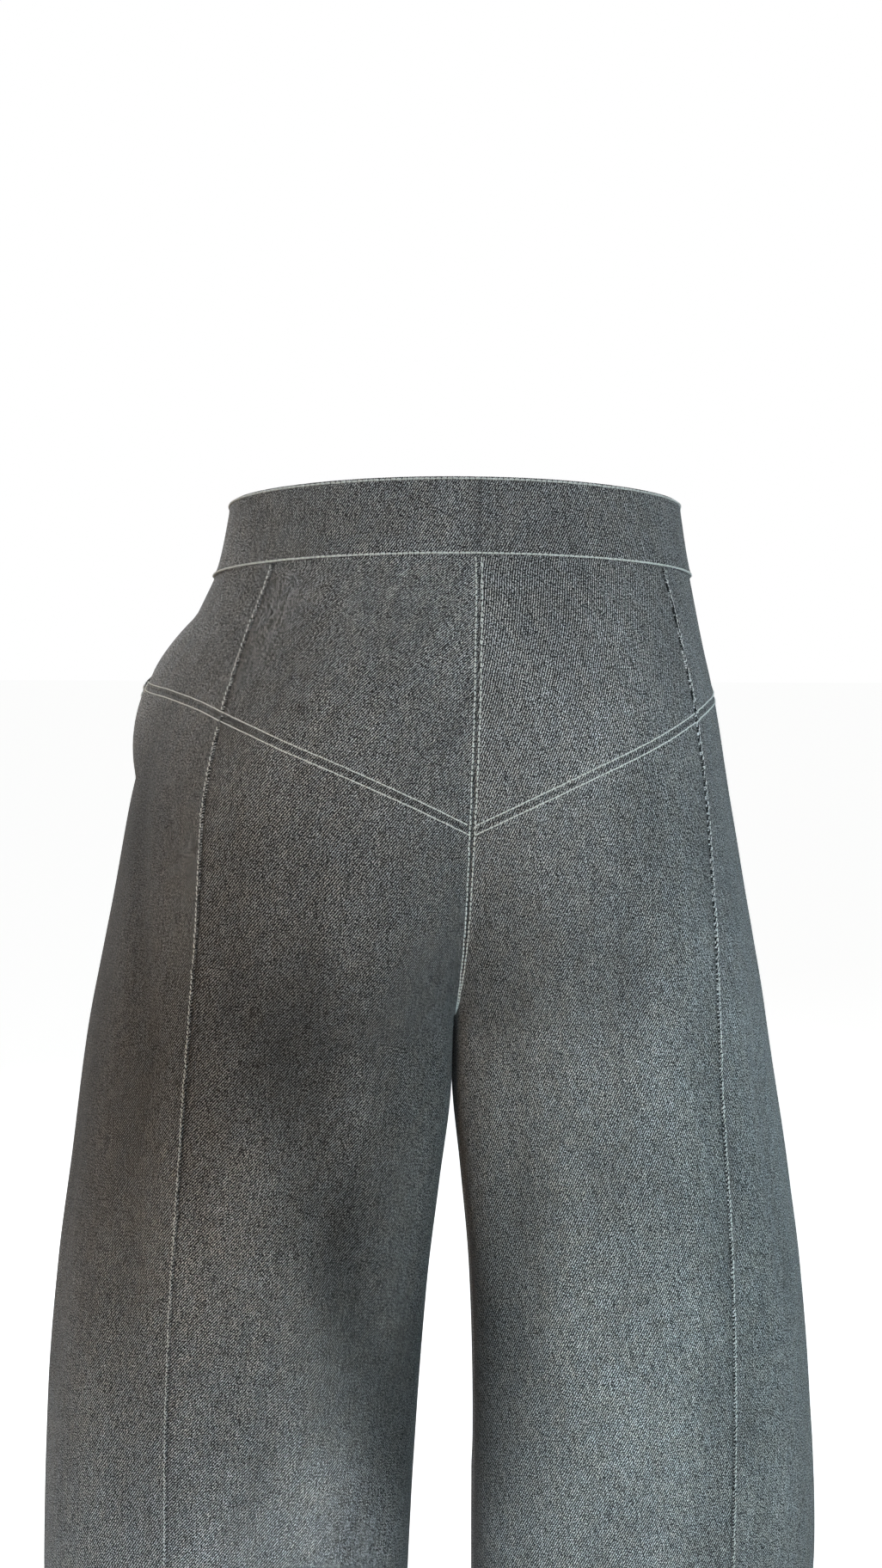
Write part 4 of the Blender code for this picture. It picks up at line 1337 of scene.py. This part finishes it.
class JEANS_OT_yokes(bpy.types.Operator):
    """Cuts and sews the four pieces of the yoke"""
    bl_idname = "jeans.yokes"
    bl_label = "Yokes"

    def execute(self, context):
        # Each piece's name, its edges, and the width and height for which its grid is spaced
        for side, label in SIDES:
            for stem, low, high, width, height in (
                    ("back_yoke", "back_seam", "back_middle", 115.0, 120.0),
                    ("side_yoke", "front_seam", "back_seam", 150.0, 65.0)):
                rows = ((over_yoke, under_band, spacing(height, True, True)),)
                cut_panel(f"{stem}_{label}", side, rows, low, high, width, True,
                          plain_thickness)
        return {"FINISHED"}


class JEANS_OT_waistband(bpy.types.Operator):
    """Makes the contoured waistband from its buttonhole end to the underlap"""
    bl_idname = "jeans.waistband"
    bl_label = "Waistband"

    def execute(self, context):
        stations = band_stations()
        parts = spacing(BAND_HEIGHT, True, True, BAND_PITCH)
        points, normals, drop, level = band_surface(stations, parts)
        along = run_length(points[0])[None, :]
        from_bottom = (parts * BAND_HEIGHT)[:, None]
        from_end = np.minimum(along, along[:, -1:] - along)
        join = [share for _, share, _ in stations].index(1.0)
        from_join = np.abs(along - along[0, join])
        relief, shade = band_relief(from_bottom, BAND_HEIGHT - from_bottom, from_end, from_join,
                                    along)
        outer = points + normals * (BAND_PROUD - drop + relief[..., None])
        inner_relief = 0.5 * bump(from_bottom, 0.5) + 0.5 * bump(BAND_HEIGHT - from_bottom, 0.5)
        inner = points + normals * (BAND_PROUD - drop - BAND_CLOTH
                                    + (inner_relief + 0 * along)[..., None])
        maps = np.stack([along + 0 * from_bottom, level], axis=-1)
        shade = np.broadcast_to(shade, (len(parts), along.shape[1]))
        faces = [denim_faces()[0]] * 2
        piece = shell("waistband_cloth", outer, inner, maps, shade, faces, False)
        dress(piece, "denim", "waistband")
        across, length, area = grid_size(points)
        return {"FINISHED"}


class JEANS_OT_fly(bpy.types.Operator):
    """Makes the fly's facing, the zip's tape and teeth, and finishes the slider"""
    bl_idname = "jeans.fly"
    bl_label = "Fly and zip"

    def execute(self, context):
        rows, columns = FLY_GRID
        levels = np.linspace(FLY_FOOT, float(under_band(0.0)), rows)
        across = np.linspace(GAP, FLY_WIDTH, columns)

        def facing_row(i):
            """The facing narrows to half its width at its foot, over its nine lowest rows."""
            return across * (0.5 + 0.5 * ease(i / 9))

        outer, inner = behind_fronts(levels, facing_row, CLOTH + LAYER_GAP, CLOTH)
        self.strip("fly_facing_cloth", outer, inner, denim_faces(), "denim", "fly_facing",
                   "front_leg_left")
        rows, columns = ZIP_GRID
        levels = np.linspace(ZIP_FOOT, float(under_band(0.0)), rows)
        reach = np.concatenate([[-ZIP_REACH_RIGHT, -5, -GAP],
                                np.linspace(1.5, ZIP_REACH_LEFT, columns)])
        depth = 2 * (CLOTH + LAYER_GAP)
        outer, inner = behind_fronts(levels, lambda i: reach, depth, ZIP_TAPE)
        self.strip("zip_tape_weave", outer, inner, [tape_look()] * 2, "zip_tape", "zip",
                   "fly_facing_cloth")
        self.teeth(depth + ZIP_TAPE)
        plate("zip_slider")
        return {"FINISHED"}

    def strip(self, name, outer, inner, faces, slot, node, behind):
        points = outer.reshape(-1, 3)
        maps = np.stack([points[:, 0], points[:, 2]], axis=-1).reshape(*outer.shape[:2], 2)
        piece = shell(name, outer, inner, maps, np.zeros(outer.shape[:2]), faces, False)
        dress(piece, slot, node)
        across, along, area = grid_size(outer)

    def teeth(self, depth):
        """Two rows of moulded teeth that lock into each other down the middle of the tape."""
        length, height, thick = TOOTH
        profile = [(-0.5, -0.5, 0), (0.5, -0.32, 0), (0.5, 0.32, 0), (-0.5, 0.5, 0),
                   (-0.42, -0.38, 1), (0.42, -0.22, 1), (0.42, 0.22, 1), (-0.42, 0.38, 1)]
        block = [(0, 3, 2, 1), (4, 5, 6, 7),
                 (0, 1, 5, 4), (1, 2, 6, 5), (2, 3, 7, 6), (3, 0, 4, 7)]
        points, faces = [], []
        top = float(band_bottom(0.0)) - ZIP_TOP_STOP
        count = int((top - ZIP_FOOT - 6) / TOOTH_PITCH)
        for i in range(2 * count):
            hand = 1 if i % 2 else -1
            level = top - i * TOOTH_PITCH / 2
            turn, place = facing_turn(ZIP_LINE, level, -depth - 0.02)
            first = len(points)
            for x, y, z in profile:
                local = np.array([-hand * (x * length + 0.9), y * height, -z * thick])
                points.append(place + turn @ local)
            faces += [tuple(first + k for k in face[::hand]) for face in block]
        dress(add_piece("zip_teeth", points, faces, metal()), "metal")


class JEANS_OT_button(bpy.types.Operator):
    """Finishes the waist button and sews the buttonhole that it goes through"""
    bl_idname = "jeans.button"
    bl_label = "Button and buttonhole"

    def execute(self, context):
        plate("waist_button")
        level = float(band_top(0.0)) - BAND_HEIGHT / 2
        angle = np.linspace(0, 2 * math.pi, 80, endpoint=False)
        long, high = BUTTONHOLE
        reach = (long - high) / 2
        x = BUTTONHOLE_X + np.where(np.cos(angle) > 0, 1, -1) * reach + np.cos(angle) * high / 2
        y = np.sin(angle) * high / 2
        share = x / FORM.front_cloth(level)
        points, normals = cloth_frame(LEFT, share, level + y)
        points = points + normals * BAND_PROUD
        closed = [np.concatenate([column, column[:1]]) for column in (points, normals)]
        sew("buttonhole_stitching", [closed], pitch=0.55, fill=3.4, thickness=0.55, lean=90,
            sink=0.1, seed=23)
        return {"FINISHED"}


class JEANS_OT_bar_tacks(bpy.types.Operator):
    """Sews the bar tacks at the pocket mouths and down the fly"""
    bl_idname = "jeans.bar_tacks"
    bl_label = "Bar tacks"

    def execute(self, context):
        lines = []
        for side, _ in SIDES:
            share = MOUTH_END + 0.004
            level = float(yoke_level(share)) - 0.6
            points, normals = line_on_cloth(side, np.array([share, share]),
                                            np.array([level + 1, level - 1]))
            lines.append(tack(points.mean(axis=0), normals[0], points[0] - points[1], TACK))
        width = FORM.front_cloth(FLY_FOOT)
        for distance, height in FLY_TACKS:
            level = FLY_FOOT + height
            share = np.array([distance - 1, distance + 1]) / width
            points, normals = line_on_cloth(LEFT, share, np.array([level - 1, level + 1]))
            lines.append(tack(points.mean(axis=0), normals[0], points[1] - points[0], TACK))
        sew("bar_tacks", lines, pitch=0.42, fill=4.6, thickness=0.5, lean=90, sink=0.05, seed=29)
        return {"FINISHED"}


class JEANS_OT_topstitching(bpy.types.Operator):
    """Sews the paired rows of the seat, yoke and pocket mouths, the band's rows and the hems"""
    bl_idname = "jeans.topstitching"
    bl_label = "Topstitching"

    def execute(self, context):
        lines, yoke_lines = [], []
        for side, _ in SIDES:
            width = float(FORM.at_level(FORM.back_width, float(yoke_level(1.0))))
            lines += middle_rows(side)
            yoke_lines += [yoke_row(side, MOUTH_END, 1 - CENTRE_ROWS / width, YOKE_ROWS),
                           yoke_row(side, MOUTH_END, 1 - 0.3 / width, -YOKE_ROWS)]
            mouth_start = float(FORM.seam("front", yoke_crossing("front"))) + 0.004
            lines += [yoke_row(side, mouth_start, MOUTH_END, -YOKE_ROWS),
                      yoke_row(side, mouth_start, MOUTH_END, -MOUTH_SECOND_ROW)]
        sew("seam_topstitching", lines, fill=0.78, thickness=0.9, seed=3)
        sew("yoke_topstitching", yoke_lines, fill=0.98, thickness=0.85, seed=6, ragged=0.6)
        sew("fly_topstitching", [fly_row(reach) for reach in FLY_ROWS], seed=4)
        sew("waistband_topstitching", self.band_rows(), fill=0.97, thickness=1.25, seed=5,
            ragged=0.6)
        share = np.linspace(0.002, 0.998, 400)
        sew("hem_topstitching", [
            line_on_cloth(side, share, np.full(share.shape, HEM_LEVEL + HEM_ROW))
            for side, _ in SIDES], seed=7)
        return {"FINISHED"}

    def band_rows(self):
        """The two rows along the band and the one at each of its ends."""
        stations = band_stations()
        rows = []
        for edge in (EDGE_ROW, BAND_HEIGHT - EDGE_ROW):
            points, normals, drop, _ = band_surface(stations, [edge / BAND_HEIGHT])
            rows.append(((points + normals * (BAND_ROW - drop))[0], normals[0]))
        for end in (0, -1):
            line = np.array([0.0, 0.25, 0.5, 0.75, 1.0]) * (BAND_HEIGHT - 2 * EDGE_ROW) + EDGE_ROW
            points, normals, drop, _ = band_surface(stations, line / BAND_HEIGHT)
            inwards = unit(points[:, 1 if end == 0 else -2] - points[:, end])
            out = normals[:, end]
            place = points[:, end] + inwards * EDGE_ROW + out * (BAND_ROW - drop[0, end])
            rows.append((place, out))
        return rows


class JEANS_OT_panel_stitching(bpy.types.Operator):
    """Sews the slanted rows that hold the lapped panel seams"""
    bl_idname = "jeans.panel_stitching"
    bl_label = "Panel seam stitching"

    def execute(self, context):
        for side, label in SIDES:
            for which in ("back", "front"):
                sew(f"{which}_panel_stitching_{label}", panel_rows(side, which),
                    pitch=LAP_STITCH, fill=0.82, thickness=0.62, lean=LAP_LEAN * side,
                    sink=LAP_SINK[side], seed=11, ragged=2.0)
        return {"FINISHED"}


class JEANS_OT_stage(bpy.types.Operator):
    """Sets the floor, the soft lights and the camera of the photograph"""
    bl_idname = "jeans.stage"
    bl_label = "Stage"

    def execute(self, context):
        settings = context.scene.jeans_stage
        self.floor(HEM_LEVEL * MM - settings.floor_drop)
        self.world(settings.daylight)
        for name, place, aim, size, power, spread, colour in LIGHTS:
            self.light(name, place, aim, size, power * settings.lamps, spread, colour)
        self.camera(context.scene)
        context.scene.view_settings.view_transform = "Standard"
        return {"FINISHED"}

    def floor(self, level):
        look = Look("pale_floor")
        grain = look.spotted(30)
        look.finish(grain, 0.0003, Base_Color=look.tint((0.9, 0.9, 0.9), 0.98 + grain * 0.03),
                    Roughness=0.8, Emission_Color=WHITE, Emission_Strength=FLOOR_GLOW)
        soft = look.add("ShaderNodeBsdfDiffuse", None, {"Color": FLOOR_GREY})
        path = look.add("ShaderNodeLightPath")
        mix = look.add("ShaderNodeMixShader", None, {
            0: Value(look, path.outputs["Is Camera Ray"]), 1: Value(look, soft.outputs[0]),
            2: Value(look, look.shader.outputs[0])})
        look.tree.links.new(mix.outputs[0], look.tree.nodes["Material Output"].inputs["Surface"])
        mesh = bpy.data.meshes.new("floor")
        corners = [(x * FLOOR_REACH, y * FLOOR_REACH, level)
                   for x, y in ((-1, -1), (1, -1), (1, 1), (-1, 1))]
        mesh.from_pydata(corners, [], [(0, 1, 2, 3)])
        mesh.materials.append(look.material)
        floor = new_object("floor", mesh)

    def world(self, strength):
        world = bpy.data.worlds.new("studio")
        bpy.context.scene.world = world
        world.use_nodes = True
        nodes, links = world.node_tree.nodes, world.node_tree.links
        light = nodes["Background"]
        light.inputs["Color"].default_value = DAYLIGHT_COLOUR
        light.inputs["Strength"].default_value = strength
        seen = nodes.new("ShaderNodeBackground")
        seen.inputs["Color"].default_value = WHITE
        path = nodes.new("ShaderNodeLightPath")
        mix = nodes.new("ShaderNodeMixShader")
        links.new(path.outputs["Is Camera Ray"], mix.inputs[0])
        links.new(light.outputs[0], mix.inputs[1])
        links.new(seen.outputs[0], mix.inputs[2])
        links.new(mix.outputs[0], nodes["World Output"].inputs["Surface"])

    def light(self, name, place, aim, size, power, spread, colour):
        light = bpy.data.lights.new(name, "AREA")
        light.shape = "DISK"
        light.size = size
        light.energy = power
        light.spread = math.radians(spread)
        light.color = colour
        lamp = new_object(name, light)
        lamp.location = place
        lamp.visible_camera = False
        lamp.rotation_euler = (Vector(aim) - Vector(place)).to_track_quat("-Z", "Y").to_euler()

    def camera(self, scene):
        right = Vector((-math.cos(AZIMUTH), math.sin(AZIMUTH), 0.0))
        back = Vector((math.sin(AZIMUTH), math.cos(AZIMUTH), 0.0))
        place = back * DISTANCE + right * EYE_SHIFT
        place.z = EYE_LEVEL
        forward = -back * math.cos(PITCH) - Vector((0, 0, 1)) * math.sin(PITCH)
        up = right.cross(forward)
        across = right * math.cos(ROLL) + up * math.sin(ROLL)
        above = up * math.cos(ROLL) - right * math.sin(ROLL)
        lens = bpy.data.cameras.new("camera")
        lens.sensor_fit = "AUTO"
        lens.sensor_width = SENSOR
        lens.lens = FOCAL_PIXELS / max(PICTURE) * SENSOR
        lens.clip_start = 0.01
        camera = new_object("camera", lens)
        turn = Matrix((across, above, -forward)).transposed()
        camera.matrix_world = Matrix.Translation(place * MM) @ turn.to_4x4()
        scene.camera = camera


PIECES = (JEANS_OT_leg_panels, JEANS_OT_yokes, JEANS_OT_waistband, JEANS_OT_fly, JEANS_OT_button,
          JEANS_OT_topstitching, JEANS_OT_panel_stitching, JEANS_OT_bar_tacks, JEANS_OT_stage)


class JEANS_PT_workroom(bpy.types.Panel):
    """Lists the pieces and their settings"""
    bl_label = "Barrel jeans"
    bl_idname = "JEANS_PT_workroom"
    bl_space_type = "VIEW_3D"
    bl_region_type = "UI"
    bl_category = "Jeans"

    def draw(self, context):
        for name, _ in SETTINGS:
            group = getattr(context.scene, name)
            for setting in group.__annotations__:
                self.layout.prop(group, setting)
        for piece in PIECES:
            self.layout.operator(piece.bl_idname)


SETTINGS = (("jeans_cloth", ClothSettings), ("jeans_sewing", SewingSettings),
            ("jeans_stage", StageSettings))


def register():
    for name, group in SETTINGS:
        bpy.utils.register_class(group)
        setattr(bpy.types.Scene, name, PointerProperty(type=group))
    for piece in PIECES:
        bpy.utils.register_class(piece)
    bpy.utils.register_class(JEANS_PT_workroom)


def unregister():
    bpy.utils.unregister_class(JEANS_PT_workroom)
    for piece in reversed(PIECES):
        bpy.utils.unregister_class(piece)
    for name, group in reversed(SETTINGS):
        delattr(bpy.types.Scene, name)
        bpy.utils.unregister_class(group)


def main():
    register()
    for piece in PIECES:
        module, name = piece.bl_idname.split(".")
        getattr(getattr(bpy.ops, module), name)()


if __name__ == "__main__":
    main()
